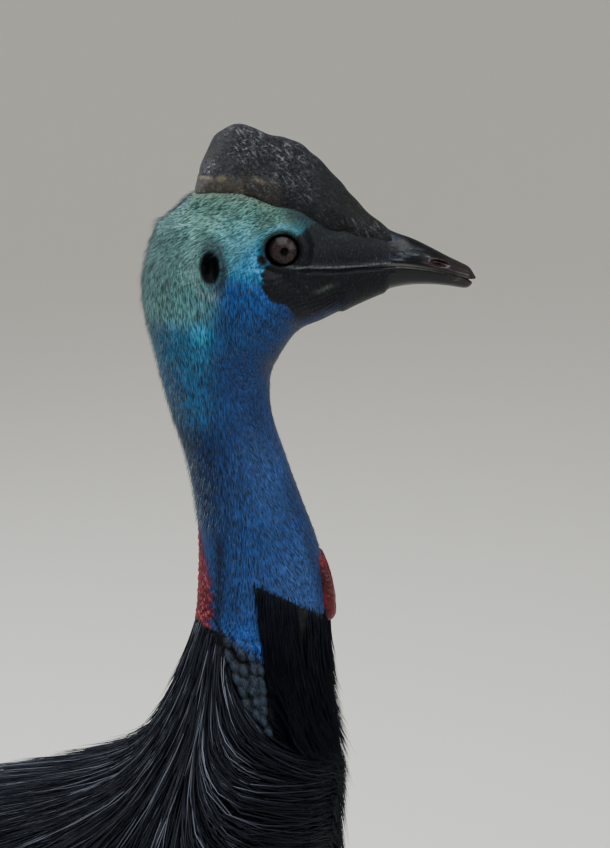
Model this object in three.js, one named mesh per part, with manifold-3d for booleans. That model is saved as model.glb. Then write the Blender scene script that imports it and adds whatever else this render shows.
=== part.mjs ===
// A southern cassowary, standing with its neck drawn up, as a life-size museum model.
// Millimetres, X towards the bill, Y towards the bird's left, Z up, with the feet on Z = 0.
// The flesh is a field of distances from the skin, and the plumage is flat tapered locks laid over it.
import * as THREE from "three";
import { mergeVertices } from "three/addons/utils/BufferGeometryUtils.js";
import Module from "manifold-3d";

const wasm = await Module();
wasm.setup();

// Driving dimensions
const GAP = 0.3; // between two nodes that touch
const EYE_X = 260.6; // the eye, from which the head is measured
const EYE_Z = 1330.3;
const EYE_RADIUS = 11.5;
const EYE_SPREAD = 20.5; // from the middle of the head to the middle of an eyeball
const NECK_TOP = 1345;
const NECK_BOTTOM = 830;
const NECK_PARTING = 1176; // upper and lower lengths of the bare neck
const RUFF_TOP = 1093; // where the plumage of the neck begins
const COAT = 60; // depth of the plumage over the back and flanks
const RUFF_COAT = 4; // and at its upper edge on the neck
const CORE_SHARE = 0.5; // share of that depth which is solid under the locks
const ROOT_SHARE = 0.25; // share of it at which the locks are rooted
const CHEST = { centre: [146, 0, 812], radii: [112, 128, 140], droop: 0 };
const RUMP = { centre: [-130, 0, 782], radii: [325, 150, 148], droop: 0.1 };
const HIP_SPREAD = 88;
const FOOT_SPREAD = 98;
const STRIDE = 55; // the right foot stands this far ahead of the middle, and the left as far behind
const HOCK_HEIGHT = 335;
const THIGH_END = 452;
const ANKLE_HEIGHT = 58;

const vec = (x, y, z) => new THREE.Vector3(x, y, z);
const { lerp, clamp, smoothstep, degToRad } = THREE.MathUtils;
const DOWN = vec(0, 0, -1);
const UP = vec(0, 0, 1);

// A repeatable source of numbers from 0 to 1.
function seeded(seed) {
  let state = seed;
  return () => {
    state = (state + 0x6d2b79f5) | 0;
    let t = Math.imul(state ^ (state >>> 15), 1 | state);
    t = (t + Math.imul(t ^ (t >>> 7), 61 | t)) ^ t;
    return ((t ^ (t >>> 14)) >>> 0) / 4294967296;
  };
}

// A smooth curve through points whose first numbers rise, one function for each further column.
function profile(rows, column = 1) {
  const slope = (i) => {
    const a = rows[Math.max(i - 1, 0)];
    const b = rows[Math.min(i + 1, rows.length - 1)];
    return (b[column] - a[column]) / (b[0] - a[0]);
  };
  return (x) => {
    if (x <= rows[0][0]) return rows[0][column];
    const i = rows.findIndex((row) => row[0] >= x);
    if (i < 0) return rows[rows.length - 1][column];
    const span = rows[i][0] - rows[i - 1][0];
    const t = (x - rows[i - 1][0]) / span;
    const [a, b] = [rows[i - 1][column], rows[i][column]];
    return (
      a * (1 + 2 * t) * (1 - t) ** 2 +
      b * t * t * (3 - 2 * t) +
      span * slope(i - 1) * t * (1 - t) ** 2 +
      span * slope(i) * t * t * (t - 1)
    );
  };
}

// Solids

function solid(geometry) {
  geometry.deleteAttribute("normal");
  geometry.deleteAttribute("uv");
  const merged = mergeVertices(geometry, 1e-3);
  const vertProperties = new Float32Array(merged.attributes.position.array);
  const triVerts = new Uint32Array(merged.index.array);
  const make = () => new wasm.Manifold(new wasm.Mesh({ numProp: 3, vertProperties, triVerts }));
  const made = make();
  if (made.volume() > 0) return made;
  for (let i = 0; i < triVerts.length; i += 3) {
    [triVerts[i + 1], triVerts[i + 2]] = [triVerts[i + 2], triVerts[i + 1]];
  }
  return make();
}

// A closed tube. place(share along, angle, share of the radius) says where each point of it goes.
function tube(around, along, place, pointed = false) {
  const Form = pointed ? THREE.ConeGeometry : THREE.CylinderGeometry;
  const geometry = pointed ? new Form(1, 1, around, along) : new Form(1, 1, 1, around, along);
  const position = geometry.attributes.position;
  const point = vec(0, 0, 0);
  for (let i = 0; i < position.count; i++) {
    point.fromBufferAttribute(position, i);
    const share = clamp(point.y + 0.5, 0, 1);
    const radius = Math.hypot(point.x, point.z) > 1e-6 ? 1 : 0;
    const placed = place(share, Math.atan2(point.z, point.x), radius);
    position.setXYZ(i, placed.x, placed.y, placed.z);
  }
  return solid(geometry);
}

const power = (value, exponent) => Math.sign(value) * Math.abs(value) ** exponent;
const roundedStep = (t) => 0.5 - 0.5 * Math.cos(Math.PI * t);
const fuse = (solids) => wasm.Manifold.union(solids);

const bulkiest = (pieces) => pieces.reduce((a, b) => (b.volume() > a.volume() ? b : a));

// The outer surface of the biggest piece, without specks or the hollows between crossing locks.
function largest(made) {
  let piece = bulkiest(made.simplify(0.06).decompose());
  for (let i = 0; i < 3; i++) {
    const mesh = piece.getMesh();
    const geometry = new THREE.BufferGeometry();
    geometry.setAttribute("position", new THREE.BufferAttribute(mesh.vertProperties, 3));
    geometry.setIndex(new THREE.BufferAttribute(mesh.triVerts, 1));
    piece = bulkiest(solid(geometry).decompose());
  }
  return piece;
}

// The side of a plane through a point that its normal points to, half a gap clear of it.
function beyond(made, normal, through) {
  const unit = normal.clone().normalize();
  return made.trimByPlane(unit.toArray(), unit.dot(through) + GAP / 2);
}

// An egg, turned by an optional rotation.
function egg(centre, radii, detail = 3, rotation = null) {
  const geometry = new THREE.IcosahedronGeometry(1, detail);
  geometry.scale(radii[0], radii[1], radii[2]);
  if (rotation) geometry.applyMatrix4(new THREE.Matrix4().makeRotationFromEuler(rotation));
  geometry.translate(centre.x, centre.y, centre.z);
  return solid(geometry);
}

// Head and bill, measured from the eye: [forward, top, bottom, half width]

const HEAD_ROWS = [
  [-85.5, -14, -34, 7],
  [-82, -1, -48, 17],
  [-74, 15, -62, 25],
  [-60, 28, -74, 30],
  [-42, 34, -82, 33],
  [-22, 33, -82, 33.5],
  [-6, 29, -66.5, 31],
  [8, 25, -50.5, 26.5],
  [24, 20, -43, 21],
  [42, 14, -34, 16],
  [60, 6, -26, 11],
];
const BILL_ROWS = [
  [36, 25, -36, 14.5],
  [46, 20, -31, 13.5],
  [56, 14.5, -27, 12.3],
  [67, 9.5, -23.5, 11.2],
  [77, 6, -21.9, 10.2],
  [88, 0.8, -21.6, 9],
  [100, -5.4, -22.6, 7.4],
  [108, -9.2, -23.8, 5.6],
  [113, -12, -24, 3.8],
  [116, -15.5, -21.5, 1.4],
];
const CASQUE_ROWS = [
  [-52.5, 38, 22, 9],
  [-50, 50, 20, 13],
  [-46, 59.5, 18, 15.5],
  [-39, 69.5, 17, 17],
  [-29, 73.8, 16, 18],
  [-17, 72, 15, 18.5],
  [-8, 67.5, 13, 18.5],
  [1, 66, 10, 18],
  [11, 62, 8, 17],
  [22, 52.5, 6, 15.5],
  [33, 41, 4, 13.5],
  [45, 27, 2, 11.5],
  [56, 17, 0, 9],
  [66, 10, 0, 6],
];
const MOUTH_ROWS = [
  [-17, -6.5],
  [9, -9],
  [31, -10.5],
  [46, -10],
  [60, -9.4],
  [74, -9.6],
  [95, -13],
  [107, -16.6],
  [122, -21.5],
];
const mouth = profile(MOUTH_ROWS);
const MOUTH_SLOT = 0.9;
const MOUTH_DEPTH = 4;

// A loft along X of sections that are wider at their widest height than at their top.
function headLoft(rows, { grow = 0, around = 16, along = 11, crown = 0, square = 1 } = {}) {
  const [top, bottom, width] = [1, 2, 3].map((column) => profile(rows, column));
  const last = rows[rows.length - 1][0];
  return tube(around, along, (share, angle, radius) => {
    const shared = roundedStep(share);
    const x = lerp(rows[0][0], last, shared);
    const middle = (top(x) + bottom(x)) / 2;
    const half = (top(x) - bottom(x)) / 2 + grow;
    const height = power(Math.sin(angle), square) * half * radius;
    const narrowing = 1 - crown * clamp(height / half, 0, 1);
    const side = power(Math.cos(angle), square) * (width(x) + grow) * radius * narrowing;
    return vec(EYE_X + x + grow * (2 * shared - 1), side, EYE_Z + middle + height);
  });
}

// The line of the mouth as a curved sheet that reaches a little way into the head on each side.
function mouthSlot() {
  const outline = new THREE.Shape();
  const steps = 9;
  const from = MOUTH_ROWS[0][0];
  const to = MOUTH_ROWS[MOUTH_ROWS.length - 1][0];
  const xs = Array.from({ length: steps + 1 }, (_, i) => lerp(from, to, i / steps));
  outline.moveTo(from - 1, mouth(from));
  xs.forEach((x) => outline.lineTo(x, mouth(x) - MOUTH_SLOT / 2));
  xs.reverse().forEach((x) => outline.lineTo(x, mouth(x) + MOUTH_SLOT / 2));
  const width = 90;
  const geometry = new THREE.ExtrudeGeometry(outline, { depth: width, bevelEnabled: false });
  geometry.rotateX(Math.PI / 2);
  geometry.translate(EYE_X, width / 2, EYE_Z);
  return solid(geometry);
}

const side = (sign) => (sign < 0 ? "right" : "left");
const SIDES = [-1, 1];

// Eyes sit in sockets with a ring of lid round each.
const eyeCentre = (sign) => vec(EYE_X - 1, sign * EYE_SPREAD, EYE_Z + 3);
const LID = { radius: 10.6, thick: 1.9, out: 6.5 };

function lid(sign) {
  const ring = new THREE.TorusGeometry(LID.radius, LID.thick, 4, 12);
  ring.rotateX(Math.PI / 2);
  ring.rotateZ(degToRad(-7 * sign));
  ring.translate(EYE_X - 1.5, sign * (EYE_SPREAD + LID.out), EYE_Z + 3);
  return solid(ring);
}

// The ear is an open cup with a raised rim, behind and below the eye.
const EAR = { x: -43.5, z: -8, radii: [5.6, 9, 8.8], rim: 2.2 };

function earRim(sign, skin) {
  const ring = new THREE.TorusGeometry(1, 0.24, 3, 10);
  ring.scale(EAR.radii[0] + EAR.rim, EAR.radii[2] + EAR.rim, EAR.rim * 3);
  ring.rotateX(Math.PI / 2);
  ring.translate(EYE_X + EAR.x, sign * skin, EYE_Z + EAR.z);
  return solid(ring);
}

function nostril(sign) {
  return egg(vec(EYE_X + 96.5, sign * 8, EYE_Z - 9), [8, 2.6, 2.4], 0);
}

function headPieces() {
  const skull = headLoft(HEAD_ROWS, { square: 0.92 });
  const bill = headLoft(BILL_ROWS, { around: 14, along: 10, crown: 0.25 });
  const earSkin = 31.6;
  const ears = SIDES.map((sign) => earRim(sign, earSkin));
  const cups = SIDES.map((sign) =>
    egg(vec(EYE_X + EAR.x, sign * (earSkin + 1), EYE_Z + EAR.z), EAR.radii, 1),
  );
  const sockets = SIDES.map((sign) => egg(eyeCentre(sign), Array(3).fill(EYE_RADIUS + 1.2 * GAP), 2));
  const whole = fuse([skull, bill, ...ears, ...SIDES.map(lid)])
    .subtract(fuse([...cups, ...sockets, ...SIDES.map(nostril)]));

  const slot = mouthSlot();
  const inner = headLoft(HEAD_ROWS, { square: 0.92, grow: -MOUTH_DEPTH });
  const upperFace = [vec(1, 0, 0.35), vec(EYE_X + 52, 0, EYE_Z)];
  const lowerFace = [vec(1, 0, -0.25), vec(EYE_X + 44, 0, EYE_Z - 20)];
  const flip = ([normal, through]) => [normal.clone().negate(), through];
  const split = beyond(whole, ...upperFace).subtract(slot).decompose();
  const above = split.reduce((a, b) => (a.boundingBox().max[2] > b.boundingBox().max[2] ? a : b));
  const lowSplit = beyond(whole, ...lowerFace).subtract(slot).decompose();
  const below = lowSplit.reduce((a, b) => (a.boundingBox().min[2] < b.boundingBox().min[2] ? a : b));
  const mouthLevel = sheetAbove();
  const head = fuse([
    beyond(whole, ...flip(upperFace)).intersect(mouthLevel),
    beyond(whole, ...flip(lowerFace)).subtract(mouthLevel),
  ]).subtract(slot.subtract(inner));
  return { head, bill_upper: above, bill_lower: below };
}

// Everything above the line of the mouth, extended level behind the gape.
function sheetAbove() {
  const outline = new THREE.Shape();
  const reach = 140;
  outline.moveTo(-reach, mouth(-reach));
  for (let x = MOUTH_ROWS[0][0]; x < reach; x += 15) outline.lineTo(x, mouth(x));
  outline.lineTo(reach, mouth(reach));
  outline.lineTo(reach, reach);
  outline.lineTo(-reach, reach);
  const geometry = new THREE.ExtrudeGeometry(outline, { depth: reach, bevelEnabled: false });
  geometry.rotateX(Math.PI / 2);
  geometry.translate(EYE_X, reach / 2, EYE_Z);
  return solid(geometry);
}

function casque() {
  const helmet = headLoft(CASQUE_ROWS, { around: 16, along: 12, crown: 0.62, square: 0.8 });
  const under = fuse([
    headLoft(HEAD_ROWS, { square: 0.92, grow: GAP }),
    headLoft(BILL_ROWS, { around: 14, along: 10, crown: 0.25, grow: GAP }),
  ]);
  return largest(helmet.subtract(under));
}

const eye = (sign) => egg(eyeCentre(sign), Array(3).fill(EYE_RADIUS), 2);

// Neck: [height, rear, front, half width] of the skin

const NECK_ROWS = [
  [830, 84, 250, 108],
  [865, 98, 256, 101],
  [900, 118, 260, 91],
  [940, 142, 265, 77],
  [980, 168, 270, 62],
  [1019, 186, 277, 49],
  [1042, 193, 281, 43.5],
  [1071, 199, 286, 39.5],
  [1096, 203, 289, 37],
  [1114, 204.5, 286.8, 35.5],
  [1142, 205.5, 280.7, 33.5],
  [1169, 203, 271, 32],
  [1199, 198, 260.6, 31],
  [1228, 189.6, 252, 30.5],
  [1254, 183, 251.5, 30.5],
  [1277, 178.5, 256, 31],
  [1300, 177.5, 249, 29.5],
  [1345, 186, 236, 25],
];
const [neckRear, neckFront, neckWidth] = [1, 2, 3].map((column) => profile(NECK_ROWS, column));
const neckMiddle = (z) => (neckRear(z) + neckFront(z)) / 2;

function neckLoft(from, to, along, grow = () => 0) {
  return tube(14, along, (share, angle, radius) => {
    const z = lerp(from, to, share);
    const depth = (neckFront(z) - neckRear(z)) / 2;
    const skin = vec(neckMiddle(z) + Math.cos(angle) * depth, Math.sin(angle) * neckWidth(z), z);
    const outer = 1 + grow(skin) / Math.hypot(skin.x - neckMiddle(z), skin.y);
    return vec(lerp(neckMiddle(z), skin.x, outer * radius), skin.y * outer * radius, z);
  });
}

// Fields: how far a point lies from the skin

// An egg whose rear end hangs lower than its front by its droop.
function eggField(point, { centre, radii, droop }) {
  const lowered = droop * (point.x - centre[0]);
  const q = [point.x, point.y, point.z - lowered].map((value, i) => (value - centre[i]) / radii[i]);
  const outer = Math.hypot(...q);
  const inner = Math.hypot(...q.map((value, i) => value / radii[i]));
  return (outer * (outer - 1)) / Math.max(inner, 1e-9);
}

function neckField(point) {
  const z = clamp(point.z, NECK_BOTTOM, NECK_TOP);
  const depth = (neckFront(z) - neckRear(z)) / 2;
  const width = neckWidth(z);
  const round = Math.hypot((point.x - neckMiddle(z)) / depth, point.y / width);
  const flat = (round - 1) * Math.min(depth, width);
  return point.z === z ? flat : Math.hypot(Math.max(flat, 0), point.z - z);
}

// Legs: hip, knee and the end of the plumage, with the radius of the flesh at each

function legJoints(sign) {
  const step = -sign * STRIDE;
  return {
    hip: vec(-70, sign * HIP_SPREAD, 740),
    knee: vec(-28 + step * 0.3, sign * (HIP_SPREAD + 8), 640),
    thighEnd: vec(-128 + step * 0.75, sign * FOOT_SPREAD, THIGH_END),
    hock: vec(-178 + step, sign * FOOT_SPREAD, HOCK_HEIGHT),
    ankle: vec(-108 + step, sign * (FOOT_SPREAD + 2), ANKLE_HEIGHT),
  };
}
const HIP_RADIUS = 96;
const KNEE_RADIUS = 84;
const THIGH_END_RADIUS = 31;

function coneField(point, a, b, radiusA, radiusB) {
  const axis = b.clone().sub(a);
  const share = clamp(point.clone().sub(a).dot(axis) / axis.lengthSq(), 0, 1);
  return point.distanceTo(a.clone().addScaledVector(axis, share)) - lerp(radiusA, radiusB, share);
}

function thighField(point, sign) {
  const { hip, knee, thighEnd } = legJoints(sign);
  return Math.min(
    coneField(point, hip, knee, HIP_RADIUS, KNEE_RADIUS),
    coneField(point, knee, thighEnd, KNEE_RADIUS, THIGH_END_RADIUS),
  );
}

function blend(a, b, reach) {
  const near = Math.max(reach - Math.abs(a - b), 0) / reach;
  return Math.min(a, b) - (near * near * reach) / 4;
}

const trunkField = (point) => blend(eggField(point, CHEST), eggField(point, RUMP), 90);

function torsoField(point) {
  const hips = SIDES.map((sign) => point.distanceTo(legJoints(sign).hip) - HIP_RADIUS);
  return blend(trunkField(point), Math.min(...hips), 40);
}

const bodyField = (point) => blend(torsoField(point), neckField(point), 55);

function fleshField(point) {
  const legs = Math.min(thighField(point, -1), thighField(point, 1));
  return blend(blend(trunkField(point), neckField(point), 55), legs, 40);
}

// Depth of the plumage: thin at the top of the ruff, middling over the chest, long over the rump.
function coatDepth(point) {
  const down = smoothstep(RUFF_TOP - point.z, 0, 130);
  const front = 1 - 0.45 * smoothstep(point.x, -130, 60);
  const thigh = 1 - 0.5 * smoothstep(640 - point.z, 0, 170);
  return lerp(RUFF_COAT, COAT * front * thigh, down);
}

function normalAt(point) {
  const step = 0.5;
  const slope = (axis) =>
    fleshField(point.clone().addScaledVector(axis, step)) -
    fleshField(point.clone().addScaledVector(axis, -step));
  return vec(slope(vec(1, 0, 0)), slope(vec(0, 1, 0)), slope(UP)).normalize();
}

// Moves a point to a share of the plumage's depth above the skin.
function toLevel(point, share) {
  const moved = point.clone();
  for (let i = 0; i < 3; i++) {
    moved.addScaledVector(normalAt(moved), share * coatDepth(moved) - fleshField(moved));
  }
  return moved;
}

// The first point out from a centre that lies at a share of the plumage's depth.
function castOut(centre, direction, share, field = fleshField) {
  let near = 0;
  let far = 700;
  for (let i = 0; i < 24; i++) {
    const middle = (near + far) / 2;
    const point = centre.clone().addScaledVector(direction, middle);
    if (field(point) < share * coatDepth(point)) near = middle;
    else far = middle;
  }
  return centre.clone().addScaledVector(direction, near);
}

// The way feathers lie. They part over the shoulder: behind it they run back and down, and in front
// of it they curve forward to the chest, where a strip hangs straight down.
const PARTING_X = 180;

function lieAt(point) {
  const below = smoothstep(1078 - point.z, 0, 46);
  const low = smoothstep(930 - point.z, 0, 130);
  const shoulder = smoothstep(point.x, PARTING_X, 256) * (1 - smoothstep(point.x, 264, 284));
  const forward = 76 * shoulder * below * (1 - low);
  const leg = smoothstep(660 - point.z, 0, 110);
  const backward = 56 * smoothstep(PARTING_X - point.x, -8, 44) * below * (1 - 0.75 * leg);
  const turn = degToRad(forward - backward);
  return vec(Math.sin(turn), 0, -Math.cos(turn));
}

// Locks

// Width and thickness of a lock along its length, as shares of the whole.
const lockWidth = profile([
  [0, 0.72],
  [0.34, 1],
  [0.67, 0.84],
  [1, 0],
]);
const lockDepth = profile([
  [0, 1.2],
  [0.34, 1],
  [0.67, 0.7],
  [1, 0],
]);

// A flat tapered lock with a low ridge, from a root sunk in the core to a tip in the open.
function lock(root, { length, width, thick, to, lean = 0, grow = 0, steps = 3 }) {
  const path = [];
  let point = root.clone();
  for (let i = 0; i <= steps; i++) {
    if (i > 0) point = toLevel(point, lerp(ROOT_SHARE, to, (i / steps) ** 0.75));
    const normal = normalAt(point);
    const lie = lieAt(point);
    lie.addScaledVector(normal, -lie.dot(normal)).normalize();
    lie.addScaledVector(lie.clone().cross(normal), lean).normalize();
    path.push({ middle: point.clone(), normal, across: lie.clone().cross(normal) });
    point = point.clone().addScaledVector(lie, length / steps);
  }
  return tube(
    3,
    steps,
    (share, angle, radius) => {
      const { middle, normal, across } = path[Math.round(share * steps)];
      const wide = (width * 0.5 * lockWidth(share) + 2 * grow) * Math.cos(angle);
      const high = (thick * 0.5 * lockDepth(share) + 2 * grow) * Math.sin(angle);
      const placed = middle.clone();
      if (share > 0.999) return placed.addScaledVector(across.clone().cross(normal), -3 * grow);
      placed.addScaledVector(across, wide * radius);
      return placed.addScaledVector(normal, high * radius);
    },
    true,
  );
}

// Shares of a curve's length, spread evenly where the curve runs at a given speed.
function evenAngles(count, speed) {
  const fine = 400;
  const sums = [0];
  for (let i = 0; i < fine; i++) sums.push(sums[i] + speed((Math.PI * (i + 0.5)) / fine));
  return Array.from({ length: count }, (_, i) => {
    const wanted = (sums[fine] * (i + 0.5)) / count;
    return (Math.PI * sums.findIndex((sum) => sum >= wanted)) / fine;
  });
}

const TORSO_CENTRE = vec(-75, 0, 800);
const TORSO_REACH = [385, 170, 175];

function torsoCore(grow = 0) {
  const geometry = new THREE.IcosahedronGeometry(1, 4);
  const position = geometry.attributes.position;
  const direction = vec(0, 0, 0);
  const field = (point) => torsoField(point) - grow;
  for (let i = 0; i < position.count; i++) {
    direction.fromBufferAttribute(position, i);
    direction.multiply(vec(...TORSO_REACH)).normalize();
    const placed = castOut(TORSO_CENTRE, direction, CORE_SHARE, field);
    position.setXYZ(i, placed.x, placed.y, placed.z);
  }
  return solid(geometry);
}

function torsoLocks() {
  const random = seeded(11);
  const [long, wide, high] = TORSO_REACH;
  const rows = evenAngles(6, (angle) => Math.hypot(long * Math.sin(angle), high * Math.cos(angle)));
  const locks = [];
  rows.forEach((theta, row) => {
    const circle = 2 * Math.PI * (wide + 28) * Math.sin(theta);
    const count = Math.max(4, Math.round(circle / 122));
    for (let i = 0; i < count; i++) {
      const turn = (2 * Math.PI * (i + (row % 2 ? 0.5 : 0) + 0.2 * (random() - 0.5))) / count;
      const direction = vec(
        long * Math.cos(theta),
        wide * Math.sin(theta) * Math.sin(turn),
        high * Math.sin(theta) * Math.cos(turn),
      ).normalize();
      const root = castOut(TORSO_CENTRE, direction, ROOT_SHARE, bodyField);
      const [lengthDraw, leanDraw] = [random(), random()];
      const inThigh = Math.min(thighField(root, -1), thighField(root, 1)) < 2;
      const underRuff = RUFF_PLANE[0].dot(root.clone().sub(RUFF_PLANE[1])) > -26;
      if (inThigh || underRuff) continue;
      const rump = smoothstep(-root.x, 150, 420);
      locks.push(
        lock(root, {
          length: 240 + 40 * rump + 30 * lengthDraw,
          width: 114,
          thick: 10,
          to: (i % 2 ? 1.08 : 0.86) + 0.08 * rump,
          lean: 0.1 * (leanDraw - 0.5),
        }),
      );
    }
  });
  return locks;
}

// Bare wrinkled skin runs down each side of the ruff.
function bareStrip(point) {
  const middle = lerp(243, 236, clamp((point.z - 1010) / 80, 0, 1));
  return Math.abs(point.x - middle) < 13 && Math.abs(point.y) > 20 && point.z > 1012;
}

function ruffLocks(grow = 0) {
  const random = seeded(23);
  const locks = [];
  const rows = [1084, 1050, 1010, 966];
  rows.forEach((z, row) => {
    const count = row ? 9 : 8;
    for (let i = 0; i < count; i++) {
      const turn = (2 * Math.PI * (i + (row % 2 ? 0.5 : 0) + 0.2 * (random() - 0.5))) / count;
      const direction = vec(Math.cos(turn), Math.sin(turn), 0);
      const root = castOut(vec(neckMiddle(z), 0, z), direction, ROOT_SHARE);
      const draw = random();
      if (bareStrip(root) || root.x < 205 * smoothstep(990 - z, 0, 9)) continue;
      locks.push(
        lock(root, {
          length: 84 + 26 * row + 14 * draw,
          width: 38 + 13 * row,
          thick: 4.4 + 1.6 * row,
          to: i % 2 ? 1.06 : 0.84,
          steps: row < 2 ? 2 : 3,
          grow,
        }),
      );
    }
  });
  return locks;
}

// The ruff and the torso part at a sloping plane through the root of the neck.
const RUFF_PLANE = [vec(0.5, 0, 0.87), vec(232, 0, 962)];

// The core of the neck's root and the torso, in two pieces.
function bodyCores(grow = 0) {
  const out = (skin) => CORE_SHARE * coatDepth(skin) + grow;
  const neckCore = neckLoft(NECK_BOTTOM, RUFF_TOP - GAP / 2, 10, out);
  const body = fuse([torsoCore(grow), neckCore]);
  const unit = RUFF_PLANE[0].clone().normalize();
  const level = unit.dot(RUFF_PLANE[1]);
  const clear = GAP / 2 - grow;
  return {
    torso: body.trimByPlane(unit.clone().negate().toArray(), clear - level),
    ruff: body.trimByPlane(unit.toArray(), clear + level),
  };
}

// Legs

function limb(a, b, around, along, halfDepth, halfWidth, grow = 0) {
  const axis = b.clone().sub(a).normalize();
  const across = vec(0, 1, 0).addScaledVector(axis, -axis.y).normalize();
  const forward = across.clone().cross(axis).normalize();
  return tube(around, along, (share, angle, radius) => {
    const deep = (halfDepth(share) + grow) * Math.cos(angle) * radius;
    const wide = (halfWidth(share) + grow) * Math.sin(angle) * radius;
    return a.clone().lerp(b, share).addScaledVector(forward, deep).addScaledVector(across, wide);
  });
}

// The flesh and packed down of a thigh, wide at the knee and narrow where the plumage ends.
function thighCore(sign, grow = 0) {
  const { knee, thighEnd } = legJoints(sign);
  const axis = thighEnd.clone().sub(knee).normalize();
  const across = vec(0, 1, 0).addScaledVector(axis, -axis.y).normalize();
  const forward = across.clone().cross(axis).normalize();
  const top = knee.clone().addScaledVector(axis, -40);
  const field = (point) => thighField(point, sign) - grow;
  return tube(12, 6, (share, angle, radius) => {
    const middle = top.clone().lerp(thighEnd, share);
    const direction = across.clone().multiplyScalar(Math.sin(angle));
    direction.addScaledVector(forward, Math.cos(angle));
    return middle.clone().lerp(castOut(middle, direction, CORE_SHARE, field), radius);
  });
}

function thighLocks(sign, grow = 0) {
  const random = seeded(41 + sign);
  const { knee, thighEnd } = legJoints(sign);
  const axis = thighEnd.clone().sub(knee).normalize();
  const across = vec(0, 1, 0);
  const forward = across.clone().cross(axis).normalize();
  const locks = [];
  for (let row = 0; row < 2; row++) {
    const middle = knee.clone().lerp(thighEnd, 0.48 + 0.24 * row);
    const count = 7 - row;
    for (let i = 0; i < count; i++) {
      const turn = (2 * Math.PI * (i + (row % 2 ? 0.5 : 0) + 0.2 * (random() - 0.5))) / count;
      const direction = across.clone().multiplyScalar(Math.sin(turn));
      direction.addScaledVector(forward, Math.cos(turn));
      const root = castOut(middle, direction, ROOT_SHARE);
      const length = 92 + 14 * random();
      const [width, thick] = [60 - 14 * row, 7];
      locks.push(lock(root, { length, width, thick, to: i % 2 ? 1.06 : 0.86, grow }));
    }
  }
  return locks;
}

const SHANK_PROFILE = [
  [0, 29],
  [0.3, 25],
  [0.62, 23.5],
  [0.85, 28],
  [1, 30],
];
const TARSUS_DEPTH = [
  [0, 31],
  [0.07, 29],
  [0.16, 24.5],
  [0.5, 22],
  [0.84, 23],
  [1, 26],
];
const TARSUS_WIDTH = [
  [0, 28],
  [0.07, 27],
  [0.16, 23],
  [0.5, 20],
  [0.84, 23],
  [1, 28],
];

// The bare end of the shank, between a plane at the plumage's edge and one through the hock.
function shank(sign) {
  const { knee, thighEnd, hock, ankle } = legJoints(sign);
  const radius = profile(SHANK_PROFILE);
  const reach = hock.clone().sub(thighEnd).setLength(24);
  const [from, to] = [thighEnd.clone().sub(reach), hock.clone().add(reach)];
  const made = limb(from, to, 12, 6, radius, (share) => radius(share) * 0.9);
  const top = thighEnd.clone().sub(knee).normalize();
  return beyond(beyond(made, top, thighEnd), hockPlane(thighEnd, hock, ankle), hock);
}

// Points up the leg, half way between the ways the shank and the tarsus run.
function hockPlane(above, hock, below) {
  return above.clone().sub(hock).normalize().add(hock.clone().sub(below).normalize()).normalize();
}

// A raised plate on a surface: its middle, its outward normal and the way it runs.
function scute(middle, normal, along, length, width, height) {
  const across = along.clone().cross(normal).normalize();
  const geometry = new THREE.CylinderGeometry(0.8, 1, 1, 4, 1);
  geometry.rotateY(Math.PI / 4);
  geometry.scale(Math.SQRT2, 1, Math.SQRT2);
  const position = geometry.attributes.position;
  const point = vec(0, 0, 0);
  for (let i = 0; i < position.count; i++) {
    point.fromBufferAttribute(position, i);
    const placed = middle.clone();
    placed.addScaledVector(normal, (point.y + 0.12) * height * 2);
    placed.addScaledVector(along, (point.z * length) / 2);
    placed.addScaledVector(across, (point.x * width) / 2);
    placed.addScaledVector(normal, -point.x * point.x * width * 0.2);
    position.setXYZ(i, placed.x, placed.y, placed.z);
  }
  return solid(geometry);
}

function tarsus(sign) {
  const { thighEnd, hock, ankle } = legJoints(sign);
  const [depth, width] = [profile(TARSUS_DEPTH), profile(TARSUS_WIDTH)];
  const axis = ankle.clone().sub(hock).normalize();
  const shaft = limb(hock.clone().addScaledVector(axis, -20), ankle, 10, 6, depth, width);
  const forward = vec(0, 1, 0).cross(axis).normalize();
  const front = forward.x > 0 ? forward : forward.negate();
  const plates = 5;
  const scutes = Array.from({ length: plates }, (_, i) => {
    const share = lerp(0.12, 0.95, i / (plates - 1));
    const middle = hock.clone().lerp(ankle, share).addScaledVector(front, depth(share) - 0.4);
    return scute(middle, front, axis, 54, width(share) * 1.4, 2.4);
  });
  const whole = fuse([shaft, ...scutes]);
  const clear = beyond(whole, hockPlane(thighEnd, hock, ankle).negate(), hock);
  return beyond(clear, axis.clone().negate(), ankle);
}

// Toes: angle from straight ahead towards the middle of the bird, length, root and end half widths, claw
const TOES = {
  inner: { turn: 27, length: 82, root: 19, end: 12, claw: 102, clawRadius: 10 },
  middle: { turn: 2, length: 142, root: 20.5, end: 11.5, claw: 44, clawRadius: 8.5 },
  outer: { turn: -27, length: 104, root: 18.5, end: 11, claw: 34, clawRadius: 8 },
};
const TOE_PADS = { inner: 2, middle: 3, outer: 2.5 };

function toeFrame(sign, name) {
  const { ankle } = legJoints(sign);
  const turn = degToRad(-sign * TOES[name].turn);
  const along = vec(Math.cos(turn), Math.sin(turn), 0);
  return { start: vec(ankle.x + 4, ankle.y, 0), along, across: vec(-along.y, along.x, 0) };
}

const toeHeight = profile([
  [0, 48],
  [0.3, 38],
  [0.7, 29],
  [1, 25],
]);

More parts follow.
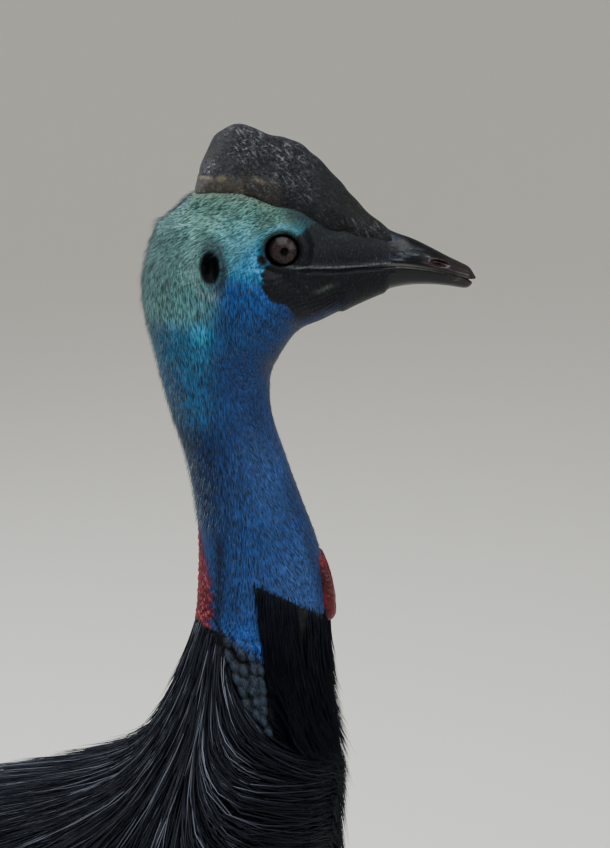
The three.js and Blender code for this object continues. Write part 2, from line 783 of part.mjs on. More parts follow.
function toe(sign, name, grow = 0) {
  const { root, end, length } = TOES[name];
  const { start, along, across } = toeFrame(sign, name);
  const pads = TOE_PADS[name];
  return tube(7, 2 * pads, (share, angle, radius) => {
    const swell = 1 + 0.09 * Math.cos(2 * Math.PI * pads * share);
    const tip = 1 - 0.22 * smoothstep(share, 0.86, 1);
    const half = lerp(root, end, share) * swell * tip + grow;
    const height = toeHeight(share) * (0.94 + 0.06 * swell) * tip + grow;
    const up = (height / 2 - 1.5) + (power(Math.sin(angle), 0.9) * (height + 3) * radius) / 2;
    return start.clone()
      .addScaledVector(along, length * share)
      .addScaledVector(across, power(Math.cos(angle), 0.9) * half * radius)
      .addScaledVector(UP, up);
  });
}

function toeScutes(sign, name, grow = 0) {
  const { root, end, length } = TOES[name];
  const { start, along } = toeFrame(sign, name);
  const plates = Math.round((length - 40) / 25);
  return Array.from({ length: plates }, (_, i) => {
    const share = lerp(46 / length, 0.92, i / (plates - 1));
    const middle = start.clone().addScaledVector(along, length * share);
    middle.z = toeHeight(share) - 0.6 + grow;
    const width = lerp(root, end, share) * 1.5;
    return scute(middle, UP, along, 19 + 2 * grow, width + 2 * grow, 1.9);
  });
}

function claw(sign, name) {
  const { length, claw: reach, clawRadius } = TOES[name];
  const { start, along, across } = toeFrame(sign, name);
  const root = start.clone().addScaledVector(along, length - 1);
  return tube(
    6,
    5,
    (share, angle, radius) => {
      const size = clawRadius * (1 - share) ** 0.75 * radius;
      const height = 13.5 - 9 * share * share;
      return root.clone()
        .addScaledVector(along, share * reach)
        .addScaledVector(across, Math.cos(angle) * size * 0.82)
        .addScaledVector(UP, height + Math.sin(angle) * size);
    },
    true,
  );
}

function footHub(sign, grow = 0) {
  const { hock, ankle } = legJoints(sign);
  const heel = ankle.clone().addScaledVector(hock.clone().sub(ankle).normalize(), 12);
  return fuse([
    egg(vec(ankle.x + 2, ankle.y, 21.5), [31 + grow, 32 + grow, 27 + grow], 1),
    limb(vec(ankle.x - 6, ankle.y, 20), heel, 10, 1, () => 24, () => 27, grow),
  ]);
}

function footPieces(sign) {
  const ground = (made) => made.trimByPlane([0, 0, 1], 0);
  const { hock, ankle } = legJoints(sign);
  const axis = ankle.clone().sub(hock).normalize();
  const pieces = {};
  pieces.foot = ground(beyond(footHub(sign), axis, ankle));
  const hub = footHub(sign, GAP);
  const taken = [hub];
  for (const name of ["middle", "inner", "outer"]) {
    const frame = toeFrame(sign, name);
    const nail = frame.start.clone().addScaledVector(frame.along, TOES[name].length - 3);
    const whole = fuse([toe(sign, name), ...toeScutes(sign, name)]).subtract(fuse(taken));
    pieces["toe_" + name] = largest(ground(beyond(whole, frame.along.clone().negate(), nail)));
    pieces["claw_" + name] = ground(beyond(claw(sign, name), frame.along, nail));
    taken.push(toe(sign, name, GAP), ...toeScutes(sign, name, GAP));
  }
  return pieces;
}

// Wings: a small stub on the flank with bare quills that hang back over the plumage

const WING_ROOT = vec(72, 0, 905);
const QUILLS = 4;

// The stub runs from inside the flank to where the quills leave it.
function wingEnds(sign) {
  const out = castOut(vec(WING_ROOT.x, 0, WING_ROOT.z), vec(0, sign, 0), 0.2);
  const lie = lieAt(out);
  return { out, lie, tip: toLevel(out.clone().addScaledVector(lie, 95), 1.1) };
}

function wingStub(sign, grow = 0) {
  const { out, tip } = wingEnds(sign);
  const [deep, wide] = [profile([[0, 17], [1, 9]]), profile([[0, 12], [1, 7]])];
  return limb(out, tip, 7, 1, deep, wide, grow);
}

function wing(sign, random) {
  const { lie, tip } = wingEnds(sign);
  const quills = Array.from({ length: QUILLS }, (_, i) => {
    const spread = (i - (QUILLS - 1) / 2) / QUILLS;
    const length = 205 + 30 * random();
    const path = [tip.clone().addScaledVector(lie, -14)];
    for (let step = 1; step <= 4; step++) {
      const last = path[path.length - 1];
      const way = lieAt(last).add(vec(0, 0, -0.55 * spread)).normalize();
      path.push(toLevel(last.clone().addScaledVector(way, length / 4), 1.24 + 0.02 * i));
    }
    const curve = new THREE.CatmullRomCurve3(path);
    return tube(
      3,
      4,
      (share, angle, radius) => {
        const point = curve.getPoint(share);
        const normal = normalAt(point);
        const across = curve.getTangent(share).cross(normal).normalize();
        const size = lerp(3.2, 1, share) * radius;
        point.addScaledVector(across, Math.cos(angle) * size);
        return point.addScaledVector(normal, Math.sin(angle) * size);
      },
      true,
    );
  });
  return fuse([wingStub(sign), ...quills]);
}

// Wattles: a soft folded lobe each side of the front of the neck

const WATTLE = { x: 281.5, z: 1134, length: 46, spread: 9.5, forward: 5.5 };

function wattle(sign, grow = 0) {
  const width = profile([[0, 3], [0.25, 6], [0.6, 7.6], [0.86, 6.4], [1, 2.5]]);
  const depth = profile([[0, 4], [0.25, 6.5], [0.6, 8.2], [0.86, 6.6], [1, 2.5]]);
  return tube(10, 6, (share, angle, radius) => {
    const fold = 1 + 0.1 * Math.cos(3 * angle + 5 * share) * Math.sin(Math.PI * share);
    return vec(
      WATTLE.x + WATTLE.forward * share + Math.cos(angle) * (depth(share) + grow) * fold * radius,
      sign * WATTLE.spread + Math.sin(angle) * (width(share) + grow) * fold * radius,
      WATTLE.z - WATTLE.length * share,
    );
  });
}

// Materials

const paint = (color, roughness, metalness = 0) =>
  new THREE.MeshStandardMaterial({ color, roughness, metalness });
const MATERIALS = {
  plumage: paint(0x0b0c10, 0.45),
  face: paint(0x1d4f86, 0.6),
  horn: paint(0x14151a, 0.35),
  casque: paint(0x24211f, 0.5),
  eye: paint(0x2c1c16, 0.08),
  neck: paint(0x14417f, 0.6),
  wattle: paint(0x8c1220, 0.5),
  scales: paint(0x5b5a4c, 0.6),
  claw: paint(0x17171a, 0.35),
};

// Draws corners that share one place a hair back into their own side of the surface.
function partCorners(geometry) {
  const { position, normal } = geometry.attributes;
  const places = new Map();
  const corner = vec(0, 0, 0);
  for (let i = 0; i < position.count; i++) {
    const place = corner.fromBufferAttribute(position, i).toArray().map((v) => v.toFixed(2)).join();
    places.set(place, [...(places.get(place) ?? []), i]);
  }
  for (const shared of places.values()) {
    if (shared.length < 2) continue;
    for (const i of shared) {
      corner.fromBufferAttribute(position, i);
      corner.addScaledVector(vec(0, 0, 0).fromBufferAttribute(normal, i), -0.06);
      position.setXYZ(i, corner.x, corner.y, corner.z);
    }
  }
}

const cassowary = new THREE.Group();

function add(name, made, material) {
  const mesh = made.getMesh();
  const geometry = new THREE.BufferGeometry();
  geometry.setAttribute("position", new THREE.BufferAttribute(mesh.vertProperties, 3));
  geometry.setIndex(new THREE.BufferAttribute(mesh.triVerts, 1));
  geometry.computeVertexNormals();
  partCorners(geometry);
  const shown = new THREE.Mesh(geometry, MATERIALS[material]);
  shown.name = name;
  cassowary.add(shown);
}

// Putting the bird together

const { head, bill_upper: billUpper, bill_lower: billLower } = headPieces();
add("head", largest(head), "face");
add("bill_upper", largest(billUpper), "horn");
add("bill_lower", largest(billLower), "horn");
add("casque", casque(), "casque");
SIDES.forEach((sign) => add("eye_" + side(sign), eye(sign), "eye"));

const wattlesGrown = fuse(SIDES.map((sign) => wattle(sign, GAP)));
const headGrown = headLoft(HEAD_ROWS, { square: 0.92, grow: GAP });
const bareNeck = neckLoft(RUFF_TOP + GAP / 2, NECK_TOP, 12)
  .subtract(fuse([headGrown, head, wattlesGrown]));
const partingPoint = vec(0, 0, NECK_PARTING);
add("neck_upper", largest(beyond(largest(bareNeck), UP, partingPoint)), "neck");
add("neck_lower", largest(beyond(largest(bareNeck), DOWN, partingPoint)), "neck");

const cores = bodyCores();
const coresGrown = bodyCores(GAP);
const thighs = SIDES.map((sign) => {
  const { knee, thighEnd } = legJoints(sign);
  const end = knee.clone().sub(thighEnd);
  const own = vec(0, sign, 0);
  const plumed = (grow) => {
    const whole = fuse([thighCore(sign, grow), ...thighLocks(sign, grow)]);
    return beyond(beyond(whole, end, thighEnd), own, vec(0, 0, 0));
  };
  return { made: plumed(0).subtract(coresGrown.torso), room: plumed(GAP).subtract(cores.torso) };
});
const ruffRoom = fuse([coresGrown.ruff, ...ruffLocks(GAP)]).subtract(cores.torso);
const stubRoom = fuse(SIDES.map((sign) => wingStub(sign, GAP)));
const torsoRoom = fuse([ruffRoom, stubRoom, ...thighs.map(({ room }) => room)]);
add("torso", largest(fuse([cores.torso, ...torsoLocks()]).subtract(torsoRoom)), "plumage");
const ruff = fuse([cores.ruff, ...ruffLocks()]);
add("neck_ruff", largest(ruff.subtract(coresGrown.torso).subtract(wattlesGrown)), "plumage");
const random = seeded(5);
SIDES.forEach((sign, i) => {
  add("wattle_" + side(sign), wattle(sign), "wattle");
  add("wing_" + side(sign), wing(sign, random), "plumage");
  add("thigh_" + side(sign), largest(thighs[i].made), "plumage");
  add("shank_" + side(sign), largest(shank(sign)), "scales");
  add("tarsus_" + side(sign), largest(tarsus(sign)), "scales");
  Object.entries(footPieces(sign)).forEach(([name, made]) => {
    add(name + "_" + side(sign), largest(made), name.startsWith("claw") ? "claw" : "scales");
  });
});

// The origin is under the middle of the bird's box, on the floor.
const box = new THREE.Box3().setFromObject(cassowary);
const middle = box.getCenter(vec(0, 0, 0));
cassowary.children.forEach((mesh) => mesh.position.set(-middle.x, -middle.y, 0));

export default cassowary;
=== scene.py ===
# A southern cassowary in a plain studio, seen as in the photograph.
# Shapes are worked out in millimetres with X towards the bill, Y towards the bird's left and Z up,
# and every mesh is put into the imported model's frame in metres when it is finished.
import math

import bmesh
import bpy
import numpy as np
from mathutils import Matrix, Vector


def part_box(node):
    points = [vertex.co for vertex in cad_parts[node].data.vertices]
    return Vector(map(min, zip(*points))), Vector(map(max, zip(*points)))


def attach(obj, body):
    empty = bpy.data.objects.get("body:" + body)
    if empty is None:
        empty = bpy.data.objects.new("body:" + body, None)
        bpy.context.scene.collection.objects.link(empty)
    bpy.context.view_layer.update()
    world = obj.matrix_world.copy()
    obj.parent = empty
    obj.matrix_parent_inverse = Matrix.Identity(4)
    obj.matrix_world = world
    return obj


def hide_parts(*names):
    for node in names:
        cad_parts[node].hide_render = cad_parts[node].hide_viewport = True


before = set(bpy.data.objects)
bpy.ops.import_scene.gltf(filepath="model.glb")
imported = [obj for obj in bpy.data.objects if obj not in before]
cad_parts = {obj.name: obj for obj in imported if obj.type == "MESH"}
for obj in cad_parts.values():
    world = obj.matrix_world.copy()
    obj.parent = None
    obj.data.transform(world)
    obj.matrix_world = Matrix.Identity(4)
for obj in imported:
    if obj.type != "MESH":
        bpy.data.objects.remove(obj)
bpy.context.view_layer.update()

MM = 0.001
SIDES = {"right": -1, "left": 1}

# Driving sizes of the bird
EYE = np.array([260.6, 0.0, 1330.3])  # the point the head is measured from
EYEBALL = np.array([259.6, 20.5, 1333.3])
EYE_RADIUS = 11.5
NECK_TOP, NECK_BOTTOM, RUFF_TOP = 1345, 830, 1093
COAT, RUFF_COAT = 60, 4
HIP_SPREAD, FOOT_SPREAD, STRIDE = 88, 98, 55
HOCK_HEIGHT, THIGH_END, ANKLE_HEIGHT = 335, 452, 58
PARTING_X = 180
CHEST, CHEST_RADII = [146, 0, 812], [112, 128, 140]
RUMP, RUMP_RADII, RUMP_SLOPE = [-130, 0, 782], [325, 150, 148], 0.1
HIP_RADIUS, KNEE_RADIUS, DRUM_RADIUS = 96, 84, 31
SHOULDER = np.array([[72.0, 0.0, 905.0]])
HEAD_SQUARE, CASQUE_SQUARE = 0.92, 0.8  # 1 gives a round section, less a squarer one
CASQUE_RIDGE, BILL_RIDGE = 0.62, 0.25  # the share of its width that a section loses at its top
STRIP_FOOT, STRIP_TOP, STRIP_SIDE = 1022, 1106, 18
EAR = {"x": -43.5, "z": -7.0, "across": 5.8, "high": 9.6}
NOSTRIL = {"x": 93.5, "z": -8.1, "slope": 0.22, "long": 6.4, "high": 2.0}
WATTLE = {"x": 281.5, "lean": 5.5, "spread": 7.6, "top": 1134, "length": 46}

# How the skin's short hairs turn from straight down, in degrees
HAIRS_FORWARD, HAIRS_BACK = 28, -62

# How much plumage there is: strands in a tuft, tufts on each part, and bristles tried on the bare skin
TUFT = 4
NECK_TUFTS, BODY_TUFTS, THIGH_TUFTS = 2450, 4650, 700
BRISTLES = 40000
LOBE_SEED, COAT_SEED, BRISTLE_SEED = 7, 3, 19

eye_corners = [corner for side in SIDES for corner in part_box("eye_" + side)]
SHIFT = np.mean(np.array(eye_corners), axis=0) / MM - EYEBALL * [1, 0, 1]


def to_scene(points):
    return (points + SHIFT) * MM


def from_eye(points):
    """How far forward of the eye and how far above it points lie."""
    return points[:, 0] - EYE[0], points[:, 2] - EYE[2]


# Curves and vectors

def smoothstep(value, low, high):
    share = np.clip((value - low) / (high - low), 0, 1)
    return share * share * (3 - 2 * share)


def bump(distance, reach):
    return np.exp(-((distance / reach) ** 2))


def mix(a, b, share):
    return a + (b - a) * share


def profile(rows, column=1):
    """A smooth curve through rows whose first numbers rise."""
    table = np.array(rows, float)
    x, y = table[:, 0], table[:, column]
    slope = np.gradient(y, x)
    slope[1:-1] = (y[2:] - y[:-2]) / (x[2:] - x[:-2])

    def at(value):
        value = np.clip(value, x[0], x[-1])
        i = np.clip(np.searchsorted(x, value), 1, len(x) - 1)
        span = x[i] - x[i - 1]
        t = (value - x[i - 1]) / span
        ends = y[i - 1] * (1 + 2 * t) * (1 - t) ** 2 + y[i] * t * t * (3 - 2 * t)
        return ends + span * t * (1 - t) * (slope[i - 1] * (1 - t) - slope[i] * t)

    return at


def length_of(vectors):
    return np.sqrt((vectors ** 2).sum(-1))


def unit(vectors):
    return vectors / np.maximum(length_of(vectors), 1e-9)[..., None]


def dot(a, b):
    return (a * b).sum(-1)[..., None]


# Outlines: [forward, top, bottom, half width] of the head from the eye, [height, rear, front, half
# width] of the neck

HEAD_ROWS = [
    [-85.5, -14, -34, 7], [-82, -1, -48, 17], [-74, 15, -62, 25], [-60, 28, -74, 30],
    [-42, 34, -82, 33], [-22, 33, -82, 33.5], [-6, 29, -66.5, 31], [8, 25, -50.5, 26.5],
    [24, 20, -43, 21], [42, 14, -34, 16], [60, 6, -26, 11],
]
BILL_ROWS = [
    [36, 25, -36, 14.5], [46, 20, -31, 13.5], [56, 14.5, -27, 12.3], [67, 9.5, -23.5, 11.2],
    [77, 6, -21.9, 10.2], [88, 0.8, -21.6, 9], [100, -5.4, -22.6, 7.4], [108, -9.2, -23.8, 5.6],
    [113, -12, -24, 3.8], [116, -15.5, -21.5, 1.4],
]
CASQUE_ROWS = [
    [-52.5, 38, 22, 9], [-50, 50, 20, 13], [-46, 59.5, 18, 15.5], [-39, 69.5, 17, 17],
    [-29, 73.8, 16, 18], [-17, 72, 15, 18.5], [-8, 67.5, 13, 18.5], [1, 66, 10, 18],
    [11, 62, 8, 17], [22, 52.5, 6, 15.5], [33, 41, 4, 13.5], [45, 27, 2, 11.5], [56, 17, 0, 9],
    [66, 10, 0, 6],
]
MOUTH_ROWS = [
    [-17, -6.5], [9, -9], [31, -10.5], [46, -10], [60, -9.4], [74, -9.6], [95, -13],
    [107, -16.6], [122, -21.5],
]
NECK_ROWS = [
    [830, 84, 250, 108], [865, 98, 256, 101], [900, 118, 260, 91], [940, 142, 265, 77],
    [980, 168, 270, 62], [1019, 186, 277, 49], [1042, 193, 281, 43.5], [1071, 199, 286, 39.5],
    [1096, 203, 289, 37], [1114, 204.5, 286.8, 35.5], [1142, 205.5, 280.7, 33.5],
    [1169, 203, 271, 32], [1199, 198, 260.6, 31], [1228, 189.6, 252, 30.5],
    [1254, 183, 251.5, 30.5], [1277, 178.5, 256, 31], [1300, 177.5, 249, 29.5],
    [1345, 186, 236, 25],
]
mouth = profile(MOUTH_ROWS)
neck_rear, neck_front, neck_width = (profile(NECK_ROWS, column) for column in (1, 2, 3))


def neck_middle(z):
    return (neck_rear(z) + neck_front(z)) / 2


# Fields: how far each point lies from the skin

def blend(a, b, reach):
    near = np.maximum(reach - np.abs(a - b), 0) / reach
    return np.minimum(a, b) - near * near * reach / 4


def egg_field(points, centre, radii, rise=0.0):
    """The distance to an egg whose long axis rises towards the bill."""
    q = points - centre
    q[:, 2] -= rise * q[:, 0]
    q = q / radii
    outer, inner = length_of(q), length_of(q / radii)
    return outer * (outer - 1) / np.maximum(inner, 1e-9)


def neck_field(points):
    z = np.clip(points[:, 2], NECK_BOTTOM, NECK_TOP)
    depth, width = (neck_front(z) - neck_rear(z)) / 2, neck_width(z)
    around = np.hypot((points[:, 0] - neck_middle(z)) / depth, points[:, 1] / width)
    flat = (around - 1) * np.minimum(depth, width)
    over = np.abs(points[:, 2] - z)
    return np.where(over > 0, np.hypot(np.maximum(flat, 0), over), flat)


def loft_field(points, rows, square=1.0, crown=0.0):
    x, z = from_eye(points)
    held = np.clip(x, rows[0][0], rows[-1][0])
    top, bottom, width = (profile(rows, column)(held) for column in (1, 2, 3))
    half = (top - bottom) / 2
    high = (z - (top + bottom) / 2) / half
    wide = points[:, 1] / (width * (1 - crown * np.clip(high, 0, 1)))
    around = (np.abs(high) ** (2 / square) + np.abs(wide) ** (2 / square)) ** (square / 2)
    flat = (around - 1) * np.minimum(half, width)
    over = np.abs(x - held)
    return np.where(over > 0, np.hypot(np.maximum(flat, 0), over), flat)


def leg_joints(sign):
    step = -sign * STRIDE
    return {
        "hip": np.array([-70, sign * HIP_SPREAD, 740.0]),
        "knee": np.array([-28 + step * 0.3, sign * (HIP_SPREAD + 8), 640.0]),
        "thigh_end": np.array([-128 + step * 0.75, sign * FOOT_SPREAD, float(THIGH_END)]),
        "hock": np.array([-178 + step, sign * FOOT_SPREAD, float(HOCK_HEIGHT)]),
        "ankle": np.array([-108 + step, sign * (FOOT_SPREAD + 2), float(ANKLE_HEIGHT)]),
    }


def cone_field(points, a, b, radius_a, radius_b):
    axis = b - a
    share = np.clip((points - a) @ axis / (axis @ axis), 0, 1)
    return length_of(points - a - share[:, None] * axis) - mix(radius_a, radius_b, share)


def thigh_field(points, sign):
    joints = leg_joints(sign)
    upper = cone_field(points, joints["hip"], joints["knee"], HIP_RADIUS, KNEE_RADIUS)
    lower = cone_field(points, joints["knee"], joints["thigh_end"], KNEE_RADIUS, DRUM_RADIUS)
    return np.minimum(upper, lower)


def legs_field(points):
    return np.minimum(*(thigh_field(points, sign) for sign in SIDES.values()))


def flesh_field(points):
    """The body under its plumage, without the head."""
    chest = egg_field(points, CHEST, CHEST_RADII)
    rump = egg_field(points, RUMP, RUMP_RADII, RUMP_SLOPE)
    body = blend(blend(chest, rump, reach=90), neck_field(points), reach=55)
    return blend(body, legs_field(points), reach=40)


def skin_field(points):
    head = loft_field(points, HEAD_ROWS, square=HEAD_SQUARE)
    lores = loft_field(points, BILL_ROWS[:4], crown=BILL_RIDGE)
    return blend(flesh_field(points), blend(head, lores, reach=5), reach=9)


def casque_field(points):
    return loft_field(points, CASQUE_ROWS, CASQUE_SQUARE, CASQUE_RIDGE)


def slope_of(field, points, step=0.5):
    columns = []
    for axis in np.eye(3) * step:
        columns.append((field(points + axis) - field(points - axis)) / (2 * step))
    return np.stack(columns, axis=1)


def coat_depth(points):
    """How deep the plumage is: thin on the ruff, thinner over the breast and down the thighs."""
    x, z = points[:, 0], points[:, 2]
    down = smoothstep(RUFF_TOP - z, 0, 130)
    front = 1 - 0.45 * smoothstep(x, -130, 60)
    thigh = 1 - 0.5 * smoothstep(640 - z, 0, 170)
    return mix(RUFF_COAT, COAT * front * thigh, down)


def settle(points, rounds=6):
    """Moves points onto the plain skin."""
    least_slope, longest_step = 0.05, 12
    for _ in range(rounds):
        slope = slope_of(skin_field, points)
        away = skin_field(points) / np.maximum((slope ** 2).sum(1), least_slope)
        points = points - slope * np.clip(away, -longest_step, longest_step)[:, None]
    return points


def to_coat(points, share):
    """Moves points to a share of the plumage's depth above the skin."""
    for _ in range(2):
        normal = unit(slope_of(flesh_field, points))
        away = share * coat_depth(points) - flesh_field(points)
        points = points + normal * away[:, None]
    return points, normal


def lie_at(points):
    """The way the plumage lies: it parts over the shoulder, back on one side and forward on the other."""
    x, z = points[:, 0], points[:, 2]
    below = smoothstep(1088 - z, 0, 30)
    low = smoothstep(930 - z, 0, 130)
    breast = 254 + 34 * smoothstep(1034 - z, 0, 32)
    shoulder = smoothstep(x, PARTING_X + 2, 240) * (1 - smoothstep(x, breast, breast + 12))
    forward = mix(28, 80, smoothstep(1056 - z, 0, 60)) * shoulder * below * (1 - low)
    leg = smoothstep(660 - z, 0, 110)
    rear = smoothstep(PARTING_X - x, -8, 95) * below * (1 - 0.75 * leg)
    backward = mix(58, 46, smoothstep(x, -150, 20)) * rear
    turn = np.radians(forward - backward)
    return np.stack([np.sin(turn), np.zeros_like(turn), -np.cos(turn)], axis=1)


# The bare strip down each side of the ruff, between the plumage behind and the velvet in front
strip_rear = profile([[1016, 252], [1024, 247.5], [1045, 235.6], [1057, 228], [1091, 219], [1104, 211]])
strip_front = profile([[1016, 252.5], [1023, 251.3], [1074, 249], [1100, 245.5], [1125, 241.8]])
velvet_top = profile([[241, 1126], [256, 1118.5], [268, 1111], [286.5, 1097.6], [300, 1090]])


def in_strip(points, rim=0.0):
    x, z = points[:, 0], points[:, 2]
    across = (x > strip_rear(z) + rim) & (x < strip_front(z) - rim)
    return across & (z > STRIP_FOOT) & (np.abs(points[:, 1]) > STRIP_SIDE)


def feathered(points, rim=0.0):
    x, z = points[:, 0], points[:, 2]
    behind = (x < strip_rear(z) + rim) & (z < 1092 + rim)
    before = (x > strip_front(z) - rim) & (z < velvet_top(x) + rim)
    return (z < STRIP_FOOT) | behind | before


# Meshes

def coords(shape):
    return np.array([vert.co for vert in shape.verts])


def put(shape, points):
    for vert, point in zip(shape.verts, points):
        vert.co = point


def add_ball(shape, around, along, place):
    """A closed shell whose points place(share along, angle, 1 or 0 at a pole) gives."""
    made = bmesh.ops.create_uvsphere(shape, u_segments=around, v_segments=along, radius=1)["verts"]
    co = np.array([vert.co for vert in made])
    share = np.arccos(np.clip(co[:, 2], -1, 1)) / np.pi
    radius = (np.hypot(co[:, 0], co[:, 1]) > 1e-4).astype(float)
    angle = np.arctan2(co[:, 1], co[:, 0]) * radius
    for vert, point in zip(made, place(share, angle, radius)):
        vert.co = point
    faces = list(dict.fromkeys(face for vert in made for face in vert.link_faces))
    bmesh.ops.recalc_face_normals(shape, faces=faces)


def as_mesh(name, shape):
    mesh = bpy.data.meshes.new(name)
    shape.to_mesh(mesh)
    shape.free()
    return mesh


def mesh_points(mesh):
    co = np.empty(len(mesh.vertices) * 3, np.float32)
    mesh.vertices.foreach_get("co", co)
    return co.reshape(-1, 3).astype(float)


def piece(name, mesh, material, replaced=()):
    """A finished piece of the bird from a mesh in millimetres."""
    mesh.vertices.foreach_set("co", to_scene(mesh_points(mesh)).astype(np.float32).ravel())
    mesh.shade_smooth()
    mesh.update()
    mesh.materials.clear()
    mesh.materials.append(material)
    made = bpy.data.objects.new(name, mesh)
    bpy.context.scene.collection.objects.link(made)
    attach(made, "root")
    if replaced:
        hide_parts(*replaced)


def remeshed(shape, size, smooth=0):
    """One closed skin around everything in a bmesh, with faces of one size."""
    holder = bpy.data.objects.new("rough", as_mesh("rough", shape))
    bpy.context.scene.collection.objects.link(holder)
    remesh = holder.modifiers.new("voxels", "REMESH")
    remesh.mode = "VOXEL"
    remesh.voxel_size = size
    if smooth:
        soften = holder.modifiers.new("soften", "SMOOTH")
        soften.iterations = smooth
    graph = bpy.context.evaluated_depsgraph_get()
    mesh = bpy.data.meshes.new_from_object(holder.evaluated_get(graph))
    bpy.data.objects.remove(holder)
    return mesh


def linear(code):
    """A colour given as red, green and blue in two hexadecimal digits each, as light."""
    parts = np.array([int(code[i:i + 2], 16) for i in (0, 2, 4)]) / 255
    return np.where(parts < 0.04045, parts / 12.92, ((parts + 0.055) / 1.055) ** 2.4)


def tint(mesh, colours):
    """Stores one colour for each point."""
    layer = mesh.color_attributes.new("Tint", "FLOAT_COLOR", "POINT")
    full = np.concatenate([colours, np.ones((len(colours), 1))], axis=1)
    layer.data.foreach_set("color", full.astype(np.float32).ravel())


def grade(mesh, name, values):
    """Stores one number for each point."""
    layer = mesh.attributes.new(name, "FLOAT", "POINT")
    layer.data.foreach_set("value", np.asarray(values, np.float32))


def painted(colours, layers):
    """Covers colours with others, each as strongly as its mask says."""
    for code, mask in layers:
        colours = mix(colours, linear(code), np.clip(mask, 0, 1)[:, None])
    return colours


# Materials

class Value:
    """A socket that takes part in sums."""

    def __init__(self, tree, socket):
        self.tree, self.socket = tree, socket

    def math(self, operation, *others):
        return self.tree.node("Math", {"operation": operation}, self, *others)

    def __add__(self, other):
        return self.math("ADD", other)

    def __sub__(self, other):
        return self.math("SUBTRACT", other)

    def __mul__(self, other):
        return self.math("MULTIPLY", other)

    def __rsub__(self, other):
        return self.tree.node("Math", {"operation": "SUBTRACT"}, other, self)

    __radd__ = __add__
    __rmul__ = __mul__


class Finish:
    """A material, with one method for every kind of node."""

    def __init__(self, name, **constants):
        self.material = bpy.data.materials.new(name)
        self.material.use_nodes = True
        self.nodes = self.material.node_tree.nodes
        self.shader = self.nodes["Principled BSDF"]
        for socket, value in constants.items():
            self.shader.inputs[socket.replace("_", " ")].default_value = value

    def feed(self, socket, value):
        """Links a value to a socket, or sets a plain number or colour there."""
        if isinstance(value, Value):
            self.material.node_tree.links.new(value.socket, socket)
        else:
            socket.default_value = value

    def node(self, kind, settings, *values, first=0, out=0, **named):
        made = self.nodes.new("ShaderNode" + kind)
        for key, setting in settings.items():
            setattr(made, key, setting)
        wanted = list(enumerate(values, first)) + [(key.replace("_", " "), v) for key, v in named.items()]
        for key, value in wanted:
            self.feed(made.inputs[key], value)
        return Value(self, made.outputs[out])

    def attribute(self, name, out="Fac"):
        return self.node("Attribute", {"attribute_name": name}, out=out)

    def place(self, scale=(1, 1, 1), turn=0):
        where = self.node("TexCoord", {}, out="Object")
        if turn:
            settings = {"rotation_type": "Y_AXIS"}
            where = self.node("VectorRotate", settings, Vector=where, Angle=math.radians(turn))
        return self.node("Mapping", {}, Vector=where, Scale=scale)

    def noise(self, scale, stretch=(1, 1, 1), detail=3.0, roughness=0.5, turn=0):
        where = self.place(stretch, turn)
        return self.node("TexNoise", {}, Vector=where, Scale=scale, Detail=detail, Roughness=roughness)

    def cells(self, scale, stretch=(1, 1, 1), feature="F1"):
        return self.node("TexVoronoi", {"feature": feature}, Vector=self.place(stretch), Scale=scale)

    def scaled(self, colour, by):
        return self.node("VectorMath", {"operation": "SCALE"}, colour, Scale=by)

    def between(self, value, low, high, to_low=0.0, to_high=1.0):
        return self.node("MapRange", {}, value, low, high, to_low, to_high)

    def mixed(self, a, b, share):
        """One colour over another. A Mix node has its two colours at sockets 6 and 7, and gives socket 2."""
        return self.node("Mix", {"data_type": "RGBA"}, a, b, first=6, out=2, Factor=share)

    def raised(self, height, distance, strength=1.0):
        return self.node("Bump", {}, Strength=strength, Distance=distance, Height=height)

    def set(self, **links):
        for name, value in links.items():
            self.feed(self.shader.inputs[name.replace("_", " ")], value)
        return self.material


def rgba(code):
    return (*linear(code), 1)


def feather_finish(name, dark, light):
    """Black hair-like plumage: most strands dull, some with a pale sheen along them that is painted into
    their colour.
    """
    finish = Finish(name, Specular_IOR_Level=0.09)
    shine = finish.attribute("Shine")
    broad = finish.noise(9, detail=2)
    sheen = shine * finish.between(broad, 0.35, 0.6, 0.45, 1)
    colour = finish.mixed(rgba(dark), rgba(light), sheen)
    return finish.set(Base_Color=colour, Roughness=finish.between(shine, 0, 1, 0.6, 0.4))


def skin_finish():
    """Bare skin under fine short hairs that run down, forward down the throat and back over the crown."""
    finish = Finish("bare_skin", Specular_IOR_Level=0.16)
    paint = finish.attribute("Tint", "Color")
    turn = finish.attribute("Turn")
    angles = (4, HAIRS_FORWARD, HAIRS_BACK)
    down, slant, back = (finish.noise(1500, (1, 1, 0.14), 2, turn=angle) for angle in angles)
    hairs = down + (slant - down) * finish.between(turn, 0, 1)
    hairs = hairs + (back - down) * finish.between(turn, 0, -1)
    soft = finish.noise(95, (1, 1, 0.5), detail=4)
    grain = finish.cells(560, (1, 1, 0.6))
    light = finish.scaled(paint, finish.between(soft, 0.3, 0.7, 1.05, 1.65))
    colour = finish.mixed(finish.scaled(paint, 0.24), light, finish.between(hairs, 0.36, 0.62))
    # Tiny pale flecks over the skin are painted glints.
    flecks = finish.between(finish.noise(800, (1, 1, 0.5), 4, 0.7), 0.58, 0.7)
    colour = finish.mixed(colour, rgba("66747f"), flecks * 0.2)
    return finish.set(
        Base_Color=colour,
        Roughness=finish.between(soft, 0.3, 0.7, 0.42, 0.6),
        Normal=finish.raised(grain * 0.35 + hairs, 0.0006, 0.9),
    )


